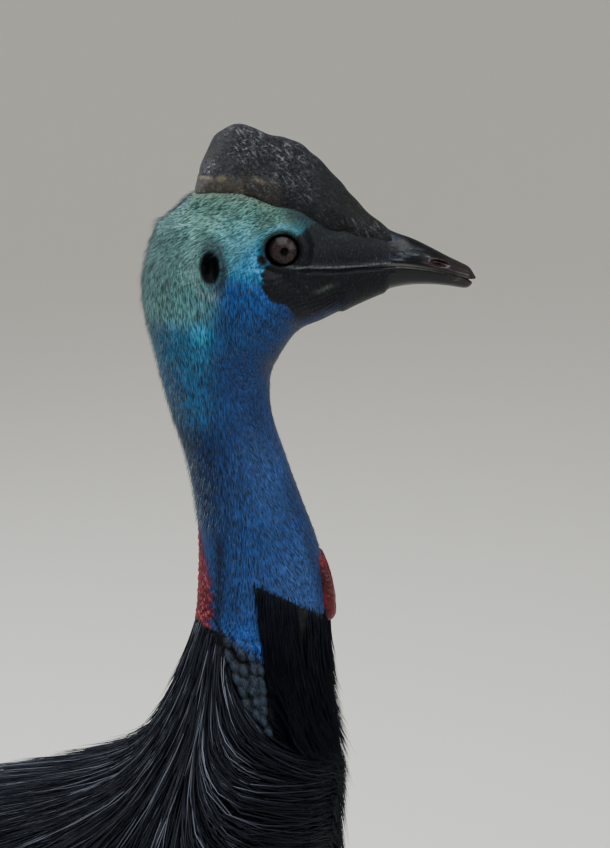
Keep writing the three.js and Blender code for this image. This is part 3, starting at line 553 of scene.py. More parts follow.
def horn_finish():
    finish = Finish("bill_horn", Specular_IOR_Level=0.24)
    paint = finish.attribute("Tint", "Color")
    scratch = finish.noise(170, (0.25, 1, 1), detail=5, roughness=0.65)
    fleck = finish.noise(620, (0.4, 1, 1), detail=2)
    worn = finish.between(scratch, 0.58, 0.74) * finish.between(fleck, 0.4, 0.6)
    colour = finish.mixed(paint, rgba("7a828f"), worn * 0.42)
    dull = finish.attribute("Dull")
    return finish.set(
        Base_Color=colour,
        Roughness=finish.between(scratch, 0.3, 0.7, 0.1, 0.34) + dull * 0.3,
        Normal=finish.raised(scratch + fleck * 0.3, 0.0005, 0.45),
    )


def casque_finish():
    finish = Finish("casque_horn", Specular_IOR_Level=0.2)
    paint = finish.attribute("Tint", "Color")
    broad = finish.noise(55, detail=5)
    rough = finish.noise(420, detail=6, roughness=0.85)
    scratch = finish.noise(640, (1, 1, 0.22), detail=5, roughness=0.75, turn=38)
    other = finish.noise(700, (0.25, 1, 1), detail=5, roughness=0.75, turn=15)
    flecks = finish.between(scratch, 0.54, 0.66) + finish.between(other, 0.56, 0.68)
    worn = flecks * finish.between(broad, 0.42, 0.6, 0.05, 0.9) + finish.between(rough, 0.5, 0.7) * 0.3
    colour = finish.mixed(paint, rgba("9a9ca6"), finish.node("Clamp", {}, worn * finish.attribute("Worn")))
    return finish.set(
        Base_Color=colour,
        Roughness=finish.between(rough, 0.35, 0.65, 0.22, 0.55),
        Normal=finish.raised(rough * 1.2 + scratch * 0.5 + other * 0.5 + broad, 0.0014, 1.0),
    )


def eye_finish():
    finish = Finish("eyeball", Roughness=0.25, Specular_IOR_Level=0.06, Coat_Weight=0.1, Coat_Roughness=0.02)
    away = finish.attribute("Gaze")
    rays = finish.noise(900, (1, 1, 1), detail=2)
    iris = finish.mixed(rgba("1b1416"), rgba("33292b"), finish.between(rays, 0.35, 0.65))
    ringed = finish.mixed(iris, rgba("120c0e"), finish.between(away, 6.6, 7.9))
    pupil = finish.mixed(rgba("010102"), ringed, finish.between(away + rays * 0.5, 2.5, 3.1))
    outer = finish.mixed(pupil, rgba("040507"), finish.between(away, 7.9, 8.4))
    return finish.set(Base_Color=outer)


def wattle_finish():
    finish = Finish("wattle_skin", Specular_IOR_Level=0.22)
    soft = finish.noise(120, (1, 1, 0.6), detail=4)
    grain = finish.cells(500)
    colour = finish.mixed(rgba("2c0a10"), rgba("58121a"), finish.between(soft, 0.35, 0.65))
    return finish.set(
        Base_Color=colour,
        Roughness=finish.between(soft, 0.3, 0.7, 0.36, 0.5),
        Normal=finish.raised(grain + soft, 0.0007, 0.7),
    )


def leg_finish():
    finish = Finish("leg_scales", Specular_IOR_Level=0.2)
    cells = finish.cells(190, (1, 1, 0.75))
    edges = finish.cells(190, (1, 1, 0.75), "DISTANCE_TO_EDGE")
    broad = finish.noise(24, detail=4)
    grime = finish.noise(300, detail=4)
    base = finish.mixed(rgba("4b4a42"), rgba("77736a"), finish.between(broad, 0.35, 0.65))
    seams = finish.between(edges, 0.0, 0.09)
    colour = finish.mixed(rgba("25241f"), base, seams * 0.8 + finish.between(grime, 0.4, 0.7) * 0.2)
    height = finish.between(edges, 0.0, 0.22) + cells * 0.1 + grime * 0.12
    return finish.set(
        Base_Color=colour,
        Roughness=finish.between(grime, 0.3, 0.7, 0.5, 0.72),
        Normal=finish.raised(height, 0.0011, 0.9),
    )


def scute_finish():
    finish = Finish("leg_scutes", Specular_IOR_Level=0.25)
    broad = finish.noise(40, detail=4)
    fine = finish.noise(420, (1, 1, 0.3), detail=4)
    colour = finish.mixed(rgba("5a574e"), rgba("8a857a"), finish.between(broad, 0.35, 0.65))
    worn = finish.mixed(colour, rgba("33312b"), finish.between(fine, 0.55, 0.75, 0, 0.6))
    return finish.set(
        Base_Color=worn,
        Roughness=finish.between(fine, 0.3, 0.7, 0.42, 0.64),
        Normal=finish.raised(fine, 0.0005, 0.6),
    )


def claw_finish():
    finish = Finish("claw_horn", Specular_IOR_Level=0.3)
    lines = finish.noise(160, (0.2, 1, 1), detail=5)
    colour = finish.mixed(rgba("17161a"), rgba("4a443e"), finish.between(lines, 0.5, 0.75))
    return finish.set(
        Base_Color=colour,
        Roughness=finish.between(lines, 0.3, 0.7, 0.26, 0.5),
        Normal=finish.raised(lines, 0.0004, 0.5),
    )


def studio_finish(name, code, roughness, glow):
    finish = Finish(name, Roughness=roughness, Emission_Strength=glow)
    return finish.set(Base_Color=rgba(code), Emission_Color=rgba(code))


# The skin of head, neck, body and thighs, in one piece

def head_loft(rows, square=1.0, crown=0.0):
    top, bottom, width = (profile(rows, column) for column in (1, 2, 3))

    def place(share, angle, radius):
        shared = 0.5 - 0.5 * np.cos(np.pi * share)
        x = mix(rows[0][0], rows[-1][0], shared)
        half = (top(x) - bottom(x)) / 2
        sine, cosine = np.sin(angle), np.cos(angle)
        height = np.sign(sine) * np.abs(sine) ** square * half * radius
        narrowing = 1 - crown * np.clip(height / half, 0, 1)
        side = np.sign(cosine) * np.abs(cosine) ** square * width(x) * radius * narrowing
        return np.stack([x, side, (top(x) + bottom(x)) / 2 + height], axis=1) + EYE

    return place


def neck_loft(share, angle, radius):
    z = mix(NECK_BOTTOM, NECK_TOP, share)
    depth = (neck_front(z) - neck_rear(z)) / 2 * radius
    x = neck_middle(z) + np.cos(angle) * depth
    return np.stack([x, np.sin(angle) * neck_width(z) * radius, z], axis=1)


def taper(start, end):
    return lambda share: mix(start, end, share)


def limb(a, b, half_depth, half_width=None):
    """A closed limb between two points: half_depth and half_width are functions of the share along."""
    half_width = half_width or half_depth
    axis = unit(b - a)
    across = unit(np.array([0, 1.0, 0]) - axis * axis[1])
    forward = np.cross(across, axis)

    def place(share, angle, radius):
        deep = (half_depth(share) * np.cos(angle) * radius)[:, None]
        wide = (half_width(share) * np.sin(angle) * radius)[:, None]
        return a + (b - a) * share[:, None] + forward * deep + across * wide

    return place


def egg(centre, radii):
    def place(share, angle, radius):
        ring = np.sin(np.pi * share)
        return np.array(centre) + np.stack([
            np.cos(np.pi * share) * radii[0],
            np.cos(angle) * ring * radii[1],
            np.sin(angle) * ring * radii[2],
        ], axis=1)

    return place


# Lids: [distance from the middle of the eyeball, how far out the skin lies there]
LID_ROWS = [
    [0, 21], [8.4, 23], [9.3, 26.2], [9.9, 28.3], [10.9, 29.2], [12.2, 29.2], [13.8, 28.4], [16, 28.9],
    [20, 30],
]
# Lower edge of the casque: [forward of the eye, height from it]
CASQUE_LINE = profile([[-58, 33.5], [-36, 36.5], [-20, 34.5], [-5, 28.5], [10, 24.5], [18, 19], [26, 15]])


def strip_lobes():
    """Middles of the wrinkled lobes in the bare strip beside the ruff: [x, z, half width, half height]."""
    draw = np.random.default_rng(LOBE_SEED)
    rows, highest, row_step = 11, 1099, 7.2
    lobes = []
    for row in range(rows):
        z = highest - row_step * row
        rear, front = strip_rear(z) + 0.5, strip_front(z) - 0.5
        count = max(1, round((front - rear) / 6.2))
        for column in range(count):
            x = mix(rear, front, (column + 0.5 + 0.35 * (draw.random() - 0.5)) / count)
            high = 4.2 + 0.12 * row + 1.2 * draw.random()
            lobes.append([x, z + 4 * (draw.random() - 0.5), 3 + 0.8 * draw.random(), high])
    return lobes


def ear_distance(points):
    """How far points lie from the middle of the ear opening: 1 is its edge."""
    x, z = from_eye(points)
    return np.hypot((x - EAR["x"]) / EAR["across"], (z - EAR["z"]) / EAR["high"])


def lip_relief(x, gape, facing):
    """The line of the mouth behind the bill, between two raised lips."""
    lips = -2.1 * bump(gape, 0.95) + 0.8 * bump(np.abs(gape) - 2.5, 1.2)
    return lips * smoothstep(x, -20, -11) * smoothstep(facing, 0.4, 0.7) * (np.abs(gape) < 8)


def cheek_relief(x, z, gape):
    """Fine wrinkles that fan out over the cheek."""
    fan = np.arctan2(z + 8, x - 78)
    cheek = smoothstep(x, -18, -8) * (1 - smoothstep(x, 34, 46)) * (1 - smoothstep(np.abs(gape + 9), 10, 18))
    return 0.3 * np.sin(150 * fan + 1.5 * np.sin(0.2 * x)) * cheek * (np.abs(gape) > 2.5)


def ear_relief(z, ear, facing):
    """A pit with a rim that stands higher above it than below."""
    rim = 1.5 * bump(ear - 1.32, 0.26) * (0.7 + 0.3 * np.sign(z - EAR["z"]))
    return (rim - 9 * np.clip(1 - ear ** 2, 0, 1)) * (facing > 0.5) * (ear < 3)


def jaw_relief(x, z, facing):
    """Soft wrinkles under the jaw."""
    fold = np.sin(0.42 * x + 0.5 * z + 1.5 * np.sin(0.11 * z + 0.2 * x))
    return 0.3 * fold * bump(np.hypot(x + 6, z + 42), 34) * (facing > 0.3)


def neck_relief(points, facing):
    """A fold down each side of the neck's front."""
    height = points[:, 2]
    depth_in = neck_front(height) - points[:, 0]
    ridge = bump(depth_in - 9 - 4 * np.abs(facing), 1.6) * smoothstep(height, 1098, 1120)
    return 1.1 * ridge * (1 - smoothstep(height, 1185, 1225)) * (facing > 0.25)


def nape_marks(points):
    """The red patch low on the nape with its ragged edge, and the beads all over it."""
    side, height = points[:, 1], points[:, 2]
    ragged = 1.6 * np.sin(0.55 * height + 1.1 * np.sin(0.3 * side)) + np.sin(1.3 * height)
    reach = mix(10.5, 4.5, smoothstep(height, 1100, 1150)) + 0.8 * ragged
    nape = smoothstep(reach - (points[:, 0] - neck_rear(height)), -2, 2)
    top = height + 5 * np.sin(0.28 * side) + 0.05 * side ** 2
    nape = nape * smoothstep(height, 1080, 1092) * (1 - smoothstep(top, 1142, 1160))
    rows = 1.35 * height + 0.9 * np.sin(0.8 * side) + 0.9 * np.sin(0.43 * height)
    beads = np.sin(rows) * np.sin(1.2 * side + 0.6 + 0.9 * np.sin(0.7 * height))
    return nape, beads


def lobe_marks(points):
    """How high each point stands on a lobe of the bare strip."""
    height = points[:, 2]
    lobes = np.zeros(len(points))
    near = in_strip(points, -2) & (height < STRIP_TOP - 2)
    for lobe_x, lobe_z, half_wide, half_high in strip_lobes():
        slanted = points[near, 0] - lobe_x - 0.2 * (lobe_z - height[near])
        away = (slanted / half_wide) ** 2 + ((height[near] - lobe_z) / half_high) ** 2
        lobes[near] = np.maximum(lobes[near], np.sqrt(np.clip(1 - away, 0, 1)))
    return lobes * (1 - smoothstep(height, 1080, 1099))


def put_lids(points, moved, eye):
    """Lays the skin around each eye along the curve of its lids."""
    outer = mix(np.abs(moved[:, 1]), np.interp(eye, *np.transpose(LID_ROWS)), 1 - smoothstep(eye, 13.5, 19))
    on_side = (np.abs(points[:, 1]) > 10) & (eye < 20)
    moved[:, 1] = np.where(on_side, np.sign(points[:, 1]) * outer, moved[:, 1])


def sculpt(points):
    """Lids, ears, the gape and the folds, on points that lie on the plain skin."""
    x, z = from_eye(points)
    casque = np.maximum(casque_field(points), 0)
    collar = bump(casque, 5.5) * (1 - smoothstep(x, 20, 30)) * smoothstep(z, 6, 14) * smoothstep(x, -66, -56)
    points[:, 2] += (CASQUE_LINE(x) - z) * collar
    normal = unit(slope_of(skin_field, points))
    facing = np.abs(normal[:, 1])

    x, z = from_eye(points)
    gape, ear, spot = z - mouth(x), ear_distance(points), np.hypot(x + 13, z + 2.8)
    nape, beads = nape_marks(points)
    lobes = lobe_marks(points)
    push = lip_relief(x, gape, facing) + cheek_relief(x, z, gape) + ear_relief(z, ear, facing)
    push += 0.9 * bump(spot, 2.6) * (facing > 0.5)
    push += jaw_relief(x, z, facing)
    push += neck_relief(points, facing)
    push += nape * (0.6 + 0.9 * beads)
    push += 3.8 * lobes

    moved = points + normal * push[:, None]
    eye = np.hypot((points[:, 0] - EYEBALL[0]) / 1.03, (points[:, 2] - EYEBALL[2]) / 0.97)
    put_lids(points, moved, eye)
    marks = {"lobes": lobes, "nape": nape, "beads": beads, "ear": ear, "gape": gape, "spot": spot}
    marks["eye"], marks["casque"] = eye, casque
    return moved, marks


# Edge of the black face: [height from the eye, forward of the eye where the black begins]
FACE_EDGE = profile([
    [-62, 24], [-50, 13], [-44.8, 9.5], [-33.2, 3.7], [-29.4, -0.1], [-26.5, -8.3], [-16.8, -13],
    [-9.1, -12.9], [-4.3, -7.9], [0.5, 1.8], [6.3, 5.5], [11, 7.5], [14.5, 13], [18.4, 20.1], [26, 24],
])

# Colours of the bare skin and where each is strongest: forward of the eye, height, reach
SKIN_PATCHES = [
    ("527f72", -40, 26, 14), ("41695f", -4, 22, 8), ("2b5a66", 13, 20, 6),
    ("5c8c88", -66, 8, 14), ("3f8090", -30, 8, 9),
    ("2478a6", -19, -5, 6), ("56807f", -72, -20, 12), ("46747a", -54, -30, 9), ("13427f", -24, -26, 8),
    ("103868", -30, -42, 11), ("0f2f5c", -14, -52, 12), ("285c80", -62, -58, 11), ("24547c", -60, -88, 12),
    ("2f8db4", -50, -46, 4), ("102c5a", -30, -85, 14), ("122a54", -48, -140, 20), ("233f70", -22, -145, 14),
    ("1b3a6e", -22, -175, 20), ("254072", 4, -222, 16), ("24437a", -18, -215, 16), ("173562", -42, -210, 14),
    ("1a4080", -25, -245, 14), ("0a1430", -3, -66, 7), ("0b1c42", 16, -52, 10), ("0a1a3c", 40, -36, 9),
]


def patch_colours(x, z):
    colours, total = np.zeros((len(x), 3)), np.zeros(len(x))
    for code, patch_x, patch_z, reach in SKIN_PATCHES:
        near = bump(np.hypot(x - patch_x, z - patch_z), reach * 1.25) + 1e-9
        colours += near[:, None] * linear(code)
        total += near
    return colours / total[:, None]


def head_layers(points, marks, noisy):
    """What lies over the colours of the head, with how strongly it covers them."""
    x, z = from_eye(points)
    side = np.abs(points[:, 1])
    eye, ear, gape, casque = marks["eye"], marks["ear"], marks["gape"], marks["casque"] + 0.5 * noisy
    under_jaw = smoothstep(profile(HEAD_ROWS, 2)(x) + 8 - z, -2, 2) * (1 - smoothstep(x, 22, 44))
    face = smoothstep(x - FACE_EDGE(z) + noisy, -1.2, 1.2) * (z > -62) * (1 - 0.85 * under_jaw)
    ahead = smoothstep(x - EAR["x"] + 0.35 * (z - EAR["z"]), -6, 4)
    streak = bump(np.hypot((x - 24) / 6, (z + 21 - 0.3 * (x - 24)) / 1.5), 1.0)
    around_eye = [
        ("2a7896", 0.6 * bump(eye - 14.2, 1.2) * smoothstep(z, -2, 5)),
        # A dark ring round the lids: their own dark skin, with painted shade around the eye.
        ("0a1c28", 0.85 * bump(eye - 11.4, 1.7)),
        ("04080f", face),
        ("06070a", 1 - smoothstep(eye, 9.9, 10.9)),
    ]
    under_casque = [
        ("4a463c", 0.6 * (1 - smoothstep(casque, 2.5, 5.5)) * (1 - smoothstep(x, -12, 0)) * (z > 20)),
        ("0b1416", 0.85 * (1 - smoothstep(casque, 3, 10)) * smoothstep(x, -10, 6) * (z > 8)),
    ]
    # Painted shade in the ear opening and a painted shadow around it, heavier ahead of and above the ear,
    # with a painted highlight on the rim behind and below it.
    ear_shade_and_highlight = [
        ("05070a", (1 - smoothstep(ear, 0.9, 1.25)) * (side > 15)),
        ("10191d", bump(ear - 1.45, 0.5) * mix(0.35, 0.9, ahead) * (side > 15)),
        ("7d969a", 0.35 * bump(ear - 1.75, 0.3) * (1 - ahead) * (side > 15)),
    ]
    on_face = [
        ("07090c", (1 - smoothstep(marks["spot"], 2.4, 3.4)) * (side > 12)),
        # Painted shade along the mouth line between the lips.
        ("020305", bump(gape, 0.9) * smoothstep(x, -19, -12) * (side > 5)),
        ("747c84", 0.7 * face * bump(gape - 1.9, 0.6) * smoothstep(x, -4, 10)),
        ("5d6a5d", 0.35 * streak * (side > 8)),
    ]
    return around_eye + under_casque + ear_shade_and_highlight + on_face


def neck_layers(points, marks, noisy):
    """What lies over the colours of the neck, with how strongly it covers them."""
    x, height = points[:, 0], points[:, 2]
    nape, beads = marks["nape"], marks["beads"]
    beside = bump(x - neck_rear(height) - 14 - 1.3 * noisy, 2.6) * smoothstep(height, 1086, 1100)
    front = 1 - smoothstep(neck_front(height) - x, 4, 10)
    black = 1 - smoothstep(height - (1094 - 0.62 * (x - 219)) + 3 * noisy, -3, 3)
    strip = in_strip(points, -1)
    return [
        ("561217", nape * (1.1 + 0.5 * beads + 0.25 * noisy)),
        ("b8565c", 1.1 * nape * np.clip(beads - 0.1, 0, 1)),
        ("0d1118", 0.85 * beside * (1 - smoothstep(height, 1146, 1160))),
        # Painted shade on the band between the fold and the front of the neck.
        ("0b2148", 0.7 * front * smoothstep(height, 1096, 1116) * (1 - smoothstep(height, 1170, 1215))),
        ("07090e", black * strip),
        # Painted highlights on the tops of the strip's lobes.
        ("2f3a49", black * strip * marks["lobes"] ** 2 * 0.8),
        # The skin under the plumage is painted near-black as the shade deep inside the coat.
        ("060709", feathered(points, -1.0).astype(float)),
    ]


def skin_colours(points, marks):
    x, z = from_eye(points)
    noisy = 0.9 * np.sin(0.9 * z + 1.1 * x) + 0.7 * np.sin(2.3 * x - 1.7 * z)
    layers = head_layers(points, marks, noisy) + neck_layers(points, marks, noisy)
    return painted(patch_colours(x, z), layers)


def hair_turn(points):
    """How the skin's hairs run: 0 straight down, 1 forward down the throat, -1 back over the crown."""
    height = points[:, 2]
    throat = smoothstep(points[:, 0] - neck_middle(height), -8, 26) * (1 - smoothstep(height, 1255, 1290))
    crown = smoothstep(height, 1300, 1345) * (1 - smoothstep(points[:, 0] - EYE[0], -10, 10) * 0.6)
    return throat - crown


def skin():
    shape = bmesh.new()
    add_ball(shape, 48, 32, egg(CHEST, CHEST_RADII))
    add_ball(shape, 64, 48, egg(RUMP, RUMP_RADII))
    add_ball(shape, 40, 60, neck_loft)
    add_ball(shape, 40, 40, head_loft(HEAD_ROWS, HEAD_SQUARE))
    add_ball(shape, 32, 24, head_loft(BILL_ROWS[:4]))
    for sign in SIDES.values():
        joints = leg_joints(sign)
        add_ball(shape, 32, 16, limb(joints["hip"], joints["knee"], taper(HIP_RADIUS, KNEE_RADIUS)))
        add_ball(shape, 32, 24, egg(joints["hip"], [HIP_RADIUS] * 3))
        add_ball(shape, 32, 24, egg(joints["knee"], [KNEE_RADIUS] * 3))
        add_ball(shape, 32, 16, limb(joints["knee"], joints["thigh_end"], taper(KNEE_RADIUS, DRUM_RADIUS)))
    mesh = remeshed(shape, size=8.0)
    shape = bmesh.new()
    shape.from_mesh(mesh)

    # The faces are halved twice from just below the bare strip upwards, and once more on head and strip
    neck_start, head_start = 1012, 1236
    for lowest in (neck_start, neck_start, head_start):
        places = coords(shape)
        chosen = places[:, 2] > lowest
        if lowest == head_start:
            chosen |= in_strip(places, -5) & (places[:, 2] < STRIP_TOP)
        edges = [edge for edge in shape.edges if all(chosen[vert.index] for vert in edge.verts)]
        bmesh.ops.subdivide_edges(shape, edges=edges, cuts=1, use_grid_fill=True)
        put(shape, settle(coords(shape), rounds=3))
    mesh = as_mesh("skin", shape)
    points, marks = sculpt(settle(mesh_points(mesh)))
    mesh.vertices.foreach_set("co", points.astype(np.float32).ravel())
    tint(mesh, skin_colours(points, marks))
    grade(mesh, "Turn", hair_turn(points))
    return mesh


# Head pieces

def eyeball(sign):
    centre = EYEBALL * [1, sign, 1]
    gaze = unit(np.array([0.12, sign, 0.0]))
    shape = bmesh.new()
    add_ball(shape, 72, 56, egg([0, 0, 0], [1, 1, 1]))
    way = unit(coords(shape))
    along = way @ gaze
    out = EYE_RADIUS * (1 + 0.03 * smoothstep(along, 0.86, 0.99))
    put(shape, centre + way * out[:, None])
    mesh = as_mesh("eyeball", shape)
    grade(mesh, "Gaze", EYE_RADIUS * np.sin(np.arccos(np.clip(along, -1, 1))) * (1 + 9 * (along < 0)))
    return mesh


def casque_shape():
    shape = bmesh.new()
    add_ball(shape, 120, 130, head_loft(CASQUE_ROWS, CASQUE_SQUARE, CASQUE_RIDGE))
    points = coords(shape)
    normal = unit(slope_of(casque_field, points))
    x, z = from_eye(points)
    knots = np.sin(0.31 * x + 0.5 * np.sin(0.27 * z)) * np.sin(0.23 * z + 0.11 * points[:, 1] + 1)
    plate_low = CASQUE_LINE(x) - 1.5
    plate_high = 43.5 - 0.1 * np.maximum(x + 25, 0)
    on_plate = smoothstep(z, plate_low, plate_low + 1) * (1 - smoothstep(z, plate_high, plate_high + 0.8))
    on_plate = on_plate * (1 - smoothstep(x, -6, 2))
    split = bump(x + 25, 0.5) + 0.6 * bump(x + 38, 0.4)
    push = 0.5 * knots + on_plate * (0.8 - 1.1 * split)
    put(shape, points + normal * push[:, None])
    mesh = as_mesh("casque", shape)

    # The plates at the back are brownish, with edges worn pale in places
    broken = 0.6 + 0.4 * np.sin(0.5 * x + 0.8 * np.sin(0.9 * x))
    edge = np.clip(bump(z - plate_high - 0.3, 0.6) + 0.6 * split * on_plate, 0, 1)
    edge = edge * (1 - smoothstep(x, -12, -2))
    layers = [
        ("3a352e", on_plate * mix(0.95, 0.4, smoothstep(x, -27, -22))),
        ("8d7d60", edge * broken * 0.8),
        ("07070a", smoothstep(x, 18, 40)),
    ]
    grade(mesh, "Worn", mix(0.62, 0.22, smoothstep(x + 0.5 * (40 - z), 2, 26)) * (1 - 0.4 * on_plate))
    tint(mesh, painted(linear("070a10"), layers))
    return mesh


def bill_loft(upper):
    """Upper or lower bill: outer face over the bill's own outline, inner face along the mouth."""
    top, bottom, width = (profile(BILL_ROWS, column) for column in (1, 2, 3))
    first, last = (49, 116.6) if upper else (43, 114.5)
    cover, hollow, rounding = 0.35, 1.4, 6
    lip_gap = 0.1 if upper else -0.55

    def place(share, angle, radius):
        x = mix(first, last, 1 - (1 - share) ** 1.35)
        middle, half = (top(x) + bottom(x)) / 2, (top(x) - bottom(x)) / 2 + cover
        lip = mouth(x) + lip_gap
        start = np.arcsin(np.clip((lip - middle) / half, -0.98, 0.98))
        far = (np.pi if upper else -np.pi) - start
        turn = mix(start, far, np.clip(angle / np.pi, 0, 1))
        high = np.sin(turn)
        outer_y = np.cos(turn) * (width(x) + cover) * (1 - BILL_RIDGE * np.clip(high, 0, 1))
        lip_y = np.cos(start) * (width(x) + cover) * (1 - BILL_RIDGE * np.clip(np.sin(start), 0, 1))
        inward = np.clip(1 + angle / np.pi, 0, 1)
        palate = hollow * np.sin(np.pi * inward) * (1 if upper else -1)
        side = np.where(angle >= 0, outer_y, mix(-lip_y, lip_y, inward))
        height = np.where(angle >= 0, middle + high * half, lip + palate)
        tip = np.clip((x - last + rounding) / rounding, 0, 1)
        closing = radius * np.sqrt(1 - 0.97 * tip ** 2)
        core = mix(lip, top(x) if upper else bottom(x), 0.4)
        return EYE + np.stack([x, side * closing, mix(core, height, closing)], axis=1)

    return place


def upper_bill_layers(x, z, slit):
    """What lies over the black horn: a bluish patch of painted reflection, the reddish nostril with painted
    shade in its opening, and the pale rim of the mouth.
    """
    blotch = np.sin(0.55 * x + 0.4 * z) + np.sin(0.7 * z - 0.35 * x + 1)
    # The bluish patch held in worn is a painted reflection on the side of the bill.
    worn = bump(np.hypot((x - 58) / 8, (z - 3) / 6), 1.0) * smoothstep(blotch, 0.2, 1.1)
    rim = 0.5 - 0.42 * smoothstep(x, 66, 96)
    return [
        ("4a5673", worn * 0.6),
        ("42262a", 0.65 * bump(slit, 1.0)),
        # Painted shade inside the nostril opening.
        ("050506", 1.3 - 1.5 * slit),
        ("7d7b78", rim * bump(z - mouth(x) - 0.9, 0.7)),
    ]


def bill_part(upper):
    shape = bmesh.new()
    add_ball(shape, 96, 100, bill_loft(upper))
    points = coords(shape)
    x, y, z = (points - EYE).T
    layers = []
    if upper:
        sloped = z - NOSTRIL["z"] + NOSTRIL["slope"] * (x - NOSTRIL["x"])
        slit = np.hypot((x - NOSTRIL["x"]) / NOSTRIL["long"], sloped / NOSTRIL["high"])
        outward = np.sign(y) * (np.abs(y) > 2)
        points[:, 1] -= outward * np.clip(1 - slit ** 2, 0, 1) * 3.2
        points[:, 1] += outward * 0.35 * bump(z - mouth(x) - 2.6, 0.9)
        put(shape, points)
        layers = upper_bill_layers(x, z, slit)
    brown_tip = ("241b1d", 0.7 * smoothstep(x, 90, 108))
    mesh = as_mesh("bill", shape)
    grade(mesh, "Dull", 1 - smoothstep(x, 46, 70))
    tint(mesh, painted(linear("05080d"), layers + [brown_tip]))
    return mesh


def wattle(sign):
    width = profile([[0, 1.4], [0.25, 4.4], [0.6, 6.2], [0.86, 5.8], [1, 2.3]])
    depth = profile([[0, 2], [0.25, 5.2], [0.6, 8], [0.86, 7], [1, 2.5]])

    def place(share, angle, radius):
        fold = 1 + 0.1 * np.cos(3 * angle + 5 * share) * np.sin(np.pi * share)
        wrinkle = 1 + 0.012 * np.sin(60 * share + 3 * np.sin(2 * angle)) * np.sin(np.pi * share)
        ends = smoothstep(share, -0.02, 0.05) * (1 - 0.6 * smoothstep(share, 0.93, 1))
        grown = fold * wrinkle * radius * ends
        return np.stack([
            WATTLE["x"] + WATTLE["lean"] * share + np.cos(angle) * depth(share) * grown,
            sign * WATTLE["spread"] + np.sin(angle) * width(share) * grown,
            WATTLE["top"] - WATTLE["length"] * share,
        ], axis=1)

    shape = bmesh.new()
    add_ball(shape, 56, 64, place)
    return as_mesh("wattle", shape)


# Plumage

def surface_samples(points, triangles, count, draw, closer=1.0):
    """Points spread over some triangles, closer together where asked."""
    a, b, c = (points[triangles[:, i]] for i in range(3))
    area = length_of(np.cross(b - a, c - a)) * closer
    chosen = draw.choice(len(triangles), count, p=area / area.sum())
    u, v = draw.random(count), draw.random(count)
    flip = u + v > 1
    u, v = np.where(flip, 1 - u, u), np.where(flip, 1 - v, v)
    return a[chosen] + (b - a)[chosen] * u[:, None] + (c - a)[chosen] * v[:, None]


def triangles_of(mesh):
    mesh.calc_loop_triangles()
    index = np.empty(len(mesh.loop_triangles) * 3, np.int32)
    mesh.loop_triangles.foreach_get("vertices", index)
    return index.reshape(-1, 3)


STRAND_WIDTH = profile([[0, 0.7], [0.3, 1], [0.7, 0.8], [1, 0.28]])


def sheen_along(points, shine):
    """The strands' painted sheen at each point: the breast stays dark and the back has a faint painted gloss
    all over.
    """
    x, z = points[..., 0], points[..., 2]
    breast = smoothstep(x, 215, 255) * smoothstep(1075 - z, 0, 40)
    back = smoothstep(120 - x, 0, 120) * smoothstep(z, 760, 860)
    return shine[:, None] * (1 - 0.8 * breast) + 0.05 * back


def strands_mesh(name, path, across, normal, width, thick, patch, shine):
    """Thin closed three-sided strands along paths of shape (steps, strands, 3)."""
    steps, count = path.shape[:2]
    share = np.linspace(0, 1, steps)
    wide = STRAND_WIDTH(share)[:, None, None] * width[None, :, None] / 2
    high = STRAND_WIDTH(share)[:, None, None] * thick[None, :, None]
    ring = np.stack([
        path - across * wide - normal * high * 0.3,
        path + across * wide - normal * high * 0.3,
        path + normal * high * 0.7,
    ], axis=2)
    tips = path[-1] + (path[-1] - path[-2]) * 0.5
    points = np.concatenate([ring.transpose(1, 0, 2, 3).reshape(count, steps * 3, 3), tips[:, None]], axis=1)
    faces = [[0, 2, 1]]
    for step in range(steps - 1):
        for i in range(3):
            a, b = 3 * step + i, 3 * step + (i + 1) % 3
            faces += [[a, b, b + 3], [a, b + 3, a + 3]]
    last = 3 * (steps - 1)
    faces += [[last + i, last + (i + 1) % 3, 3 * steps] for i in range(3)]
    per = 3 * steps + 1
    index = (np.arange(count)[:, None, None] * per + np.array(faces)).reshape(-1, 3)
    mesh = bpy.data.meshes.new(name)
    mesh.vertices.add(count * per)
    mesh.vertices.foreach_set("co", points.astype(np.float32).ravel())
    mesh.loops.add(index.size)
    mesh.loops.foreach_set("vertex_index", index.astype(np.int32).ravel())
    mesh.polygons.add(len(index))
    mesh.polygons.foreach_set("loop_start", np.arange(0, index.size, 3, dtype=np.int32))
    mesh.update(calc_edges=True)
    grade(mesh, "Shine", sheen_along(points, shine).ravel())
    layer = mesh.uv_layers.new(name="OFBake")
    local = np.array([[i / 3, step / steps] for step in range(steps) for i in range(3)] + [[0.5, 1]])
    corners = patch[:, None, :] + local * 0.003
    layer.data.foreach_set("uv", corners.reshape(-1, 2)[index.ravel()].astype(np.float32).ravel())
    return mesh


def fullness(points):
    """How far the plumage stands out: closer over the shoulders, where the neck runs into the back."""
    x, z = points[:, 0], points[:, 2]
    over_back = smoothstep(x, -120, 40) * (1 - smoothstep(x, 150, 215))
    return 1 - 0.5 * over_back * smoothstep(z, 840, 900)


def combed(roots, length, tip_level, lean, wave, steps):
    """Paths that follow the lie of the plumage from the skin up to a share of its depth."""
    path, sides, normals = [], [], []
    point = roots
    for step in range(steps + 1):
        if step:
            point = point + way * (length / steps)[:, None]
        level = mix(0.05, tip_level * fullness(point), (step / steps) ** 0.75)
        point, normal = to_coat(point, level)
        way = lie_at(point)
        way = unit(way - normal * dot(way, normal))
        side = np.cross(way, normal)
        swing = lean + wave[0] * np.sin(wave[1] + wave[2] * step / steps)
        way = unit(way + side * swing[:, None])
        path.append(point)
        sides.append(side)
        normals.append(normal)
    return np.stack(path), np.stack(sides), np.stack(normals)


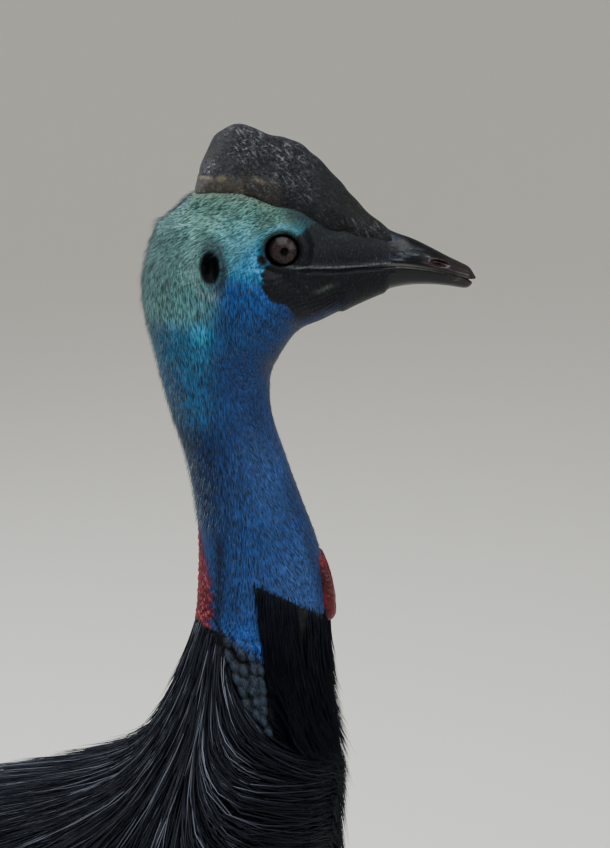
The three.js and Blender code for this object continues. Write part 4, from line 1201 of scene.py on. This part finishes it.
def unwrapped(points, around_neck):
    """A place on an unwrap of the skin for each root, from 0 to 1 both ways."""
    lowest, tall = 800, 320
    rearmost, long, spine_height = -470, 760, 780
    x, y, z = points.T
    if around_neck:
        turn, along = np.arctan2(y, x - neck_middle(z)), (z - lowest) / tall
    else:
        turn, along = np.arctan2(y, z - spine_height), (x - rearmost) / long
    return np.stack([turn / (2 * np.pi) + 0.5, along], axis=1) * 0.99


def coat(name, roots, draw, length, width, steps, finish, around_neck=False, dull=0.0, limit=4600):
    """Tufts of strands from each root, in pieces that stay under the limit on triangles."""
    count = len(roots) * TUFT
    lengths = np.repeat(length * draw.uniform(0.8, 1.15, len(roots)), TUFT) * draw.uniform(0.85, 1.1, count)
    lean = np.repeat(draw.normal(0, 0.05, len(roots)), TUFT) + draw.normal(0, 0.045, count)
    level = np.repeat(draw.uniform(0.5, 1.0, len(roots)), TUFT) + draw.normal(0, 0.05, count)
    spread = np.repeat(roots, TUFT, axis=0) + draw.normal(0, 2.2, (count, 3))
    wave = [draw.normal(0, 0.06, count), draw.uniform(0, 6.3, count), draw.uniform(2, 6, count)]
    patch = unwrapped(np.repeat(roots, TUFT, axis=0), around_neck)
    path, sides, normals = combed(spread, lengths, level, lean, wave, steps)
    if around_neck:
        over = in_strip(path.reshape(-1, 3), 1.0).reshape(path.shape[:2])
        first = np.where(over.any(axis=0), over.argmax(axis=0), steps)
        kept = first > 0
        lengths, level, lean, patch = (part[kept] for part in (lengths, level, lean, patch))
        lengths = lengths * np.clip((first[kept] - 0.3) / steps, 0.1, 1)
        wave = [part[kept] for part in wave]
        path, sides, normals = combed(spread[kept], lengths, level, lean, wave, steps)
        count = int(kept.sum())
    dull = np.repeat(np.broadcast_to(dull, len(roots)), TUFT)
    dull = dull[kept] if around_neck else dull
    # More strands carry painted sheen behind the shoulder and where the plumage faces upward towards the
    # light.
    behind = smoothstep(220 - path[0][:, 0], 0, 150)
    upward = behind * smoothstep(normals[0][:, 2], -0.1, 0.7)
    lit = draw.random(count) < 0.18 + 0.14 * behind + 0.06 * upward
    dark = draw.uniform(0, 0.14, count) + 0.03 * upward
    shine = np.where(lit, draw.uniform(0.45, 1.0, count), dark) * (1 - dull)
    width = np.repeat(np.broadcast_to(width, len(roots)), TUFT)
    width = width[kept] if around_neck else width
    width = width * draw.uniform(0.75, 1.25, count) * (1 - 0.62 * shine)
    for i, chunk in enumerate(np.array_split(np.arange(count), math.ceil(count / limit))):
        mesh = strands_mesh(
            name, path[:, chunk], sides[:, chunk], normals[:, chunk], width[chunk],
            width[chunk] * 0.42, patch[chunk], shine[chunk],
        )
        piece(f"{name}_{i + 1}", mesh, finish)


def sorted_along(roots):
    """Roots in order from rump to breast, so that each piece covers its own stretch of the body."""
    return roots[np.argsort(roots[:, 0] - 0.6 * roots[:, 2])]


def plumage(skin_points, skin_triangles):
    draw = np.random.default_rng(COAT_SEED)
    black = feather_finish("plumage", dark="060913", light="8d94a2")
    middle = skin_points[skin_triangles].mean(axis=1)
    neck_start, neck_back, thigh_top = 960, 150, 700
    covered = feathered(middle) & (middle[:, 2] > THIGH_END - 6)
    neck = covered & (middle[:, 2] > neck_start) & (middle[:, 0] > neck_back)
    thigh = covered & (legs_field(middle) < 12) & (middle[:, 2] < thigh_top) & ~neck
    trunk = covered & ~neck & ~thigh

    roots = surface_samples(skin_points, skin_triangles[neck], NECK_TUFTS, draw)
    roots = roots[feathered(roots, -0.5)]
    z = roots[:, 2]
    velvet = roots[:, 0] > strip_front(z) - 2
    length = mix(34, 165, smoothstep(1098 - z, 0, 100))
    length = np.where(velvet, mix(42, 150, smoothstep(1050 - z, 0, 70)), length)
    dull = mix(0.42, 1.0, velvet * (1 - smoothstep(1030 - z, 0, 60)))
    throat = velvet & (z > 1020)
    coat(
        "plumage_neck", roots[~throat], draw, length[~throat], width=1.3, steps=6, finish=black,
        around_neck=True, dull=dull[~throat],
    )
    front, length, dull = (np.repeat(part[throat], 2, axis=0) for part in (roots, length, dull))
    coat(
        "plumage_throat", front, draw, length, width=1.0, steps=4, finish=black,
        around_neck=True, dull=dull, limit=7000,
    )

    closer = mix(0.75, 1.9, smoothstep(middle[trunk, 0], -260, -20))
    roots = sorted_along(surface_samples(skin_points, skin_triangles[trunk], BODY_TUFTS, draw, closer))
    length = 165 + 50 * smoothstep(-roots[:, 0], 0, 350)
    width = mix(2.5, 1.35, smoothstep(roots[:, 0], -260, -20))
    coat("plumage_body", roots, draw, length, width, steps=6, finish=black, limit=4900)
    for side, sign in SIDES.items():
        own = thigh & (np.sign(middle[:, 1]) == sign)
        roots = surface_samples(skin_points, skin_triangles[own], THIGH_TUFTS, draw)
        length = mix(110, 62, smoothstep(640 - roots[:, 2], 0, 170))
        coat("plumage_thigh_" + side, roots, draw, length, width=1.8, steps=5, finish=black, limit=5500)


def bristles(skin_points, skin_triangles):
    """Short hairs combed back over the crown and down the neck."""
    draw = np.random.default_rng(BRISTLE_SEED)
    middle = skin_points[skin_triangles].mean(axis=1)
    bare = (middle[:, 2] > 1086) & ~feathered(middle, 2.0)
    roots = surface_samples(skin_points, skin_triangles[bare], BRISTLES, draw)
    x, z = from_eye(roots)
    crown = smoothstep(z, -30, 6) * (1 - smoothstep(x, -10, 10))
    behind = roots[:, 0] - neck_rear(roots[:, 2])
    rear = smoothstep(26 - behind, 0, 22)
    black_face = (x > FACE_EDGE(z) - 1) & (z > -70)
    ear = ear_distance(roots)
    eye = np.hypot(roots[:, 0] - EYEBALL[0], roots[:, 2] - EYEBALL[2])
    red = (behind < 21) & (z < -172)
    chance = 0.25 + 0.6 * crown + 0.5 * rear
    kept = (draw.random(len(roots)) < chance) & ~black_face & ~red & (eye > 15) & (ear > 1.25)
    kept &= casque_field(roots) > 1.5
    roots, crown, rear = roots[kept], crown[kept], rear[kept]
    lay = hair_turn(roots)
    turn = np.radians(HAIRS_FORWARD * np.clip(lay, 0, 1) + HAIRS_BACK * np.clip(-lay, 0, 1))
    normal = unit(slope_of(skin_field, roots))
    down = np.stack([np.sin(turn), draw.normal(0, 0.12, len(roots)), -np.cos(turn)], axis=1)
    way = unit(down - normal * dot(down, normal))
    length = (3.4 + 1.2 * crown + 1.6 * rear) * draw.uniform(0.7, 1.3, len(roots))
    lift = draw.uniform(0.08, 0.22, len(roots)) + 0.1 * rear
    tips = roots + way * (length * 0.7)[:, None] + normal * (length * lift)[:, None]
    path = np.stack([roots - normal * 0.3, tips])
    side = np.repeat(np.cross(way, normal)[None], 2, axis=0)
    up = np.repeat(normal[None], 2, axis=0)
    # Painted sheen on the bristles, strongest along the rear of the neck and over the crown.
    shine = draw.random(len(roots)) ** 1.3 * (0.3 + 0.7 * np.maximum(rear, crown * 0.6))
    patch = unwrapped(roots, True)
    hair = feather_finish("bristle", dark="10202e", light="9fb0b6")
    for i, chunk in enumerate(np.array_split(np.argsort(roots[:, 2]), 2)):
        width = np.full(len(chunk), 0.34)
        mesh = strands_mesh(
            "bristles", path[:, chunk], side[:, chunk], up[:, chunk], width, width * 0.6,
            patch[chunk], shine[chunk],
        )
        piece(f"bristles_{i + 1}", mesh, hair)


# Wings

def stub_start(sign):
    """The place at the shoulder where the wing's stub starts, a fifth of the way up through the plumage."""
    near, far, halvings = 0.0, 700.0, 24
    for _ in range(halvings):
        reach = (near + far) / 2
        point = SHOULDER + [[0, sign * reach, 0]]
        if flesh_field(point)[0] < 0.2 * coat_depth(point)[0]:
            near = reach
        else:
            far = reach
    return SHOULDER + [[0, sign * near, 0]]


def wing(sign):
    """The stub, and the bare quills that hang back over the flank."""
    stub_length, quills, quill_steps, step_length = 95, 4, 8, 26
    out = stub_start(sign)
    lie = lie_at(out)
    tip = to_coat(out + lie * stub_length, np.array([0.7]))[0]
    shape = bmesh.new()
    deep, wide = profile([[0, 16.5], [0.8, 9], [1, 4]]), profile([[0, 11.5], [0.8, 7], [1, 3]])
    add_ball(shape, 24, 24, limb(out[0], tip[0], deep, wide))
    outward, upward = np.array([0, sign, 0.0]), np.array([0.5, 0, 0.86])
    for i in range(quills):
        spread = (i - (quills - 1) / 2) / quills
        path = [tip - lie * 14]
        for step in range(quill_steps):
            way = unit(lie_at(path[-1]) + [[0, 0, -0.55 * spread]])
            level = np.array([0.85 + 0.04 * step + 0.02 * i])
            path.append(to_coat(path[-1] + way * step_length, level)[0])
        line = np.concatenate(path)
        arc = np.linspace(0, 1, len(line))

        def place(share, angle, radius, line=line, arc=arc):
            middle = np.stack([np.interp(share, arc, line[:, axis]) for axis in range(3)], axis=1)
            size = (mix(2.7, 0.9, share) * radius)[:, None]
            return middle + outward * np.cos(angle)[:, None] * size + upward * np.sin(angle)[:, None] * size

        add_ball(shape, 10, 40, place)
    return as_mesh("wing", shape)


# Legs and feet

SHANK_RADIUS = profile([[0, 29], [0.3, 25], [0.62, 23.5], [0.85, 28], [1, 30]])
TARSUS_DEPTH = profile([[0, 31], [0.07, 29], [0.16, 24.5], [0.5, 22], [0.84, 23], [1, 26]])
TARSUS_WIDTH = profile([[0, 28], [0.07, 27], [0.16, 23], [0.5, 20], [0.84, 23], [1, 28]])
TOES = {
    "inner": {"turn": 27, "length": 82, "root": 19, "end": 12, "claw": 102, "radius": 10, "pads": 2},
    "middle": {"turn": 2, "length": 142, "root": 20.5, "end": 11.5, "claw": 44, "radius": 8.5, "pads": 3},
    "outer": {"turn": -27, "length": 104, "root": 18.5, "end": 11, "claw": 34, "radius": 8, "pads": 2.5},
}
TOE_HEIGHT = profile([[0, 48], [0.3, 38], [0.7, 29], [1, 25]])


def toe_frame(sign, name):
    ankle = leg_joints(sign)["ankle"]
    turn = math.radians(-sign * TOES[name]["turn"])
    along = np.array([math.cos(turn), math.sin(turn), 0])
    return np.array([ankle[0] + 4, ankle[1], 0]), along, np.array([-along[1], along[0], 0])


def toe_loft(sign, name):
    toe = TOES[name]
    start, along, across = toe_frame(sign, name)

    def place(share, angle, radius):
        swell = 1 + 0.09 * np.cos(2 * np.pi * toe["pads"] * share)
        tip = np.sqrt(1 - np.clip((share - 0.92) / 0.08, 0, 0.97) ** 2)
        tip = tip * (1 - 0.15 * smoothstep(share, 0.8, 0.94))
        half = mix(toe["root"], toe["end"], share) * swell * tip
        height = TOE_HEIGHT(share) * (0.94 + 0.06 * swell) * tip
        up = height / 2 - 1.5 + np.sin(angle) * (height + 3) * radius / 2
        out = start + np.outer(toe["length"] * share, along)
        out = out + np.outer(np.cos(angle) * half * radius, across)
        out[:, 2] = up
        return out

    return place


def leg_skin(sign):
    joints = leg_joints(sign)
    shape = bmesh.new()
    top = mix(joints["thigh_end"], joints["knee"], 0.2)
    low = joints["hock"] + unit(joints["hock"] - joints["thigh_end"]) * 10
    add_ball(shape, 40, 60, limb(top, low, SHANK_RADIUS, lambda s: SHANK_RADIUS(s) * 0.9))
    axis = unit(joints["ankle"] - joints["hock"])
    upper, lower = joints["hock"] - axis * 12, joints["ankle"] + axis * 8
    add_ball(shape, 40, 60, limb(upper, lower, TARSUS_DEPTH, TARSUS_WIDTH))
    hub = joints["ankle"] * [1, 1, 0]
    add_ball(shape, 40, 40, egg(hub + [2, 0, 21.5], [31, 32, 27]))
    add_ball(shape, 32, 24, egg(joints["hock"], [30, 27, 31]))
    heel = joints["ankle"] - axis * 12
    add_ball(shape, 32, 12, limb(hub + [-6, 0, 20], heel, taper(24, 24), taper(27, 27)))
    for name in TOES:
        add_ball(shape, 32, 60, toe_loft(sign, name))
    mesh = remeshed(shape, size=2.6, smooth=12)
    points = mesh_points(mesh)
    points[:, 2] = np.maximum(points[:, 2], 0)
    mesh.vertices.foreach_set("co", points.astype(np.float32).ravel())
    return mesh


def add_scute(shape, middle, normal, along, length, width, height):
    """A raised plate that curves down at its sides."""
    across = np.cross(along, normal)

    def place(share, angle, radius):
        ring = np.sin(np.pi * share) ** 0.45
        x, z = np.cos(angle) * ring, np.sin(angle) * ring
        x, z = np.clip(x * 1.18, -1, 1), np.clip(z * 1.18, -1, 1)
        rise = np.cos(np.pi * share)
        out = middle + np.outer(z, along) * length / 2 + np.outer(x, across) * width / 2
        return out + np.outer(rise * height - x * x * width * 0.2, normal)

    add_ball(shape, 14, 7, place)


def leg_scutes(sign):
    joints = leg_joints(sign)
    hock, ankle = joints["hock"], joints["ankle"]
    axis = unit(ankle - hock)
    front = unit(np.cross([0, 1.0, 0], axis))
    front = front if front[0] > 0 else -front
    shape = bmesh.new()
    rows, over_hock, past_ends = 20, 12, 20
    long = length_of(ankle - hock)
    for i in range(rows):
        share = mix(0.08, 0.95, i / (rows - 1))
        along = (share * long + over_hock) / (long + past_ends)
        middle = mix(hock, ankle, share) + front * (TARSUS_DEPTH(along) - 0.4)
        add_scute(shape, middle, front, axis, length=12.8, width=TARSUS_WIDTH(along) * 1.3, height=1.7)
    for name, toe in TOES.items():
        start, along, _ = toe_frame(sign, name)
        count = round((toe["length"] - 36) / 8.5)
        for i in range(count):
            share = mix(44 / toe["length"], 0.95, i / (count - 1))
            middle = start + along * toe["length"] * share
            middle[2] = TOE_HEIGHT(share) - 1.2
            wide, upwards = mix(toe["root"], toe["end"], share) * 1.4, np.array([0, 0, 1.0])
            add_scute(shape, middle, upwards, along, length=8.8, width=wide, height=1.3)
    return as_mesh("scutes", shape)


def claw(sign, name):
    toe = TOES[name]
    start, along, across = toe_frame(sign, name)
    root = start + along * (toe["length"] - 7)
    reach = toe["claw"] + 6

    def place(share, angle, radius):
        size = toe["radius"] * (1 - share) ** 0.75 * radius * mix(0.9, 1.0, smoothstep(share, 0, 0.1))
        out = root + along * (share * reach)[:, None] + across * (np.cos(angle) * size * 0.82)[:, None]
        ridge = 1 - 0.16 * np.clip(-np.sin(angle), 0, 1)
        out[:, 2] = 13.5 - 9 * share * share + np.sin(angle) * size * ridge
        return out

    shape = bmesh.new()
    add_ball(shape, 32, 48, place)
    points = coords(shape)
    points[:, 2] = np.maximum(points[:, 2], 0.3)
    put(shape, points)
    return as_mesh("claw", shape)


# Putting the bird together

skin_mesh = skin()
skin_points, skin_triangles = mesh_points(skin_mesh), triangles_of(skin_mesh)
flesh_nodes = ["head", "neck_upper", "neck_lower", "neck_ruff", "torso", "thigh_right", "thigh_left"]
piece("skin", skin_mesh, skin_finish(), flesh_nodes)
plumage(skin_points, skin_triangles)
bristles(skin_points, skin_triangles)
horn, nails, scales, plates = horn_finish(), claw_finish(), leg_finish(), scute_finish()
piece("casque_horn", casque_shape(), casque_finish(), ["casque"])
piece("upper_bill", bill_part(True), horn, ["bill_upper"])
piece("lower_bill", bill_part(False), horn, ["bill_lower"])
eyes, lobes = eye_finish(), wattle_finish()
quills = feather_finish("quill", dark="0b0b0d", light="5a5d66")
for side, sign in SIDES.items():
    piece("eyeball_" + side, eyeball(sign), eyes, ["eye_" + side])
    piece("wattle_lobe_" + side, wattle(sign), lobes, ["wattle_" + side])
    piece("quills_" + side, wing(sign), quills, ["wing_" + side])
    names = ["shank_", "tarsus_", "foot_"] + [f"toe_{name}_" for name in TOES]
    piece("leg_" + side, leg_skin(sign), scales, [name + side for name in names])
    piece("scutes_" + side, leg_scutes(sign), plates)
    for name in TOES:
        piece(f"nail_{name}_{side}", claw(sign, name), nails, [f"claw_{name}_{side}"])


# Studio

def studio():
    """A pale floor that rises into a round wall far behind the bird."""
    flat, bend, top = 8, 5, 9
    shape = bmesh.new()
    turns = np.radians(np.arange(0, 91, 10))
    curve = [(flat + bend * math.sin(t), bend - bend * math.cos(t)) for t in turns]
    line = [(0.05, 0.0)] + curve + [(flat + bend, top)]
    verts = [shape.verts.new((x, 0, z)) for x, z in line]
    for a, b in zip(verts, verts[1:]):
        shape.edges.new((a, b))
    bmesh.ops.spin(
        shape, geom=shape.verts[:] + shape.edges[:], cent=(0, 0, 0), axis=(0, 0, 1),
        angle=math.tau, steps=96, use_merge=True,
    )
    bmesh.ops.remove_doubles(shape, verts=shape.verts, dist=0.001)
    bmesh.ops.holes_fill(shape, edges=shape.edges, sides=200)
    bmesh.ops.recalc_face_normals(shape, faces=shape.faces)
    lowest = min(shape.faces, key=lambda face: face.calc_center_median().z)
    if lowest.normal.z < 0:
        bmesh.ops.reverse_faces(shape, faces=shape.faces)
    mesh = as_mesh("floor", shape)
    mesh.shade_smooth()
    mesh.materials.append(studio_finish("studio_floor", "dcdbd6", roughness=0.9, glow=0.17))
    floor = bpy.data.objects.new("floor", mesh)
    bpy.context.scene.collection.objects.link(floor)
    world = bpy.data.worlds.new("studio_air")
    world.use_nodes = True
    world.node_tree.nodes["Background"].inputs["Color"].default_value = (0.86, 0.89, 0.93, 1)
    world.node_tree.nodes["Background"].inputs["Strength"].default_value = 0.5
    bpy.context.scene.world = world


def lamp(name, place, target, size, power, colour=(1, 1, 1)):
    light = bpy.data.lights.new(name, "AREA")
    light.size, light.energy, light.color = size, power, colour
    holder = bpy.data.objects.new(name, light)
    holder.location = place
    way = Vector(target) - Vector(place)
    holder.rotation_euler = way.to_track_quat("-Z", "Y").to_euler()
    bpy.context.scene.collection.objects.link(holder)


def camera():
    """The photo's view: level with the casque at the bird's right, looking slightly down."""
    photo_tall, focal_pixels, sensor = 848, 1400, 36
    place, looking_down = np.array([273.0, -846.0, 1462.0]), 16
    view = bpy.data.cameras.new("photo_view")
    view.sensor_width = sensor
    view.lens = focal_pixels / photo_tall * sensor
    holder = bpy.data.objects.new("photo_view", view)
    holder.location = to_scene(place)
    holder.rotation_euler = (math.radians(90 - looking_down), 0, 0)
    bpy.context.scene.collection.objects.link(holder)
    bpy.context.scene.camera = holder


studio()
lamp("sky_panel", (0.2, -0.6, 3.4), (0.15, 0, 1.0), size=2.4, power=110, colour=(0.95, 0.98, 1))
lamp("front_panel", (2.5, -1.3, 2.1), (0.2, 0, 1.1), size=1.6, power=34)
lamp("rear_panel", (-1.9, 1.2, 2.8), (0.1, 0, 1.1), size=1.6, power=70, colour=(0.92, 0.96, 1))
camera()
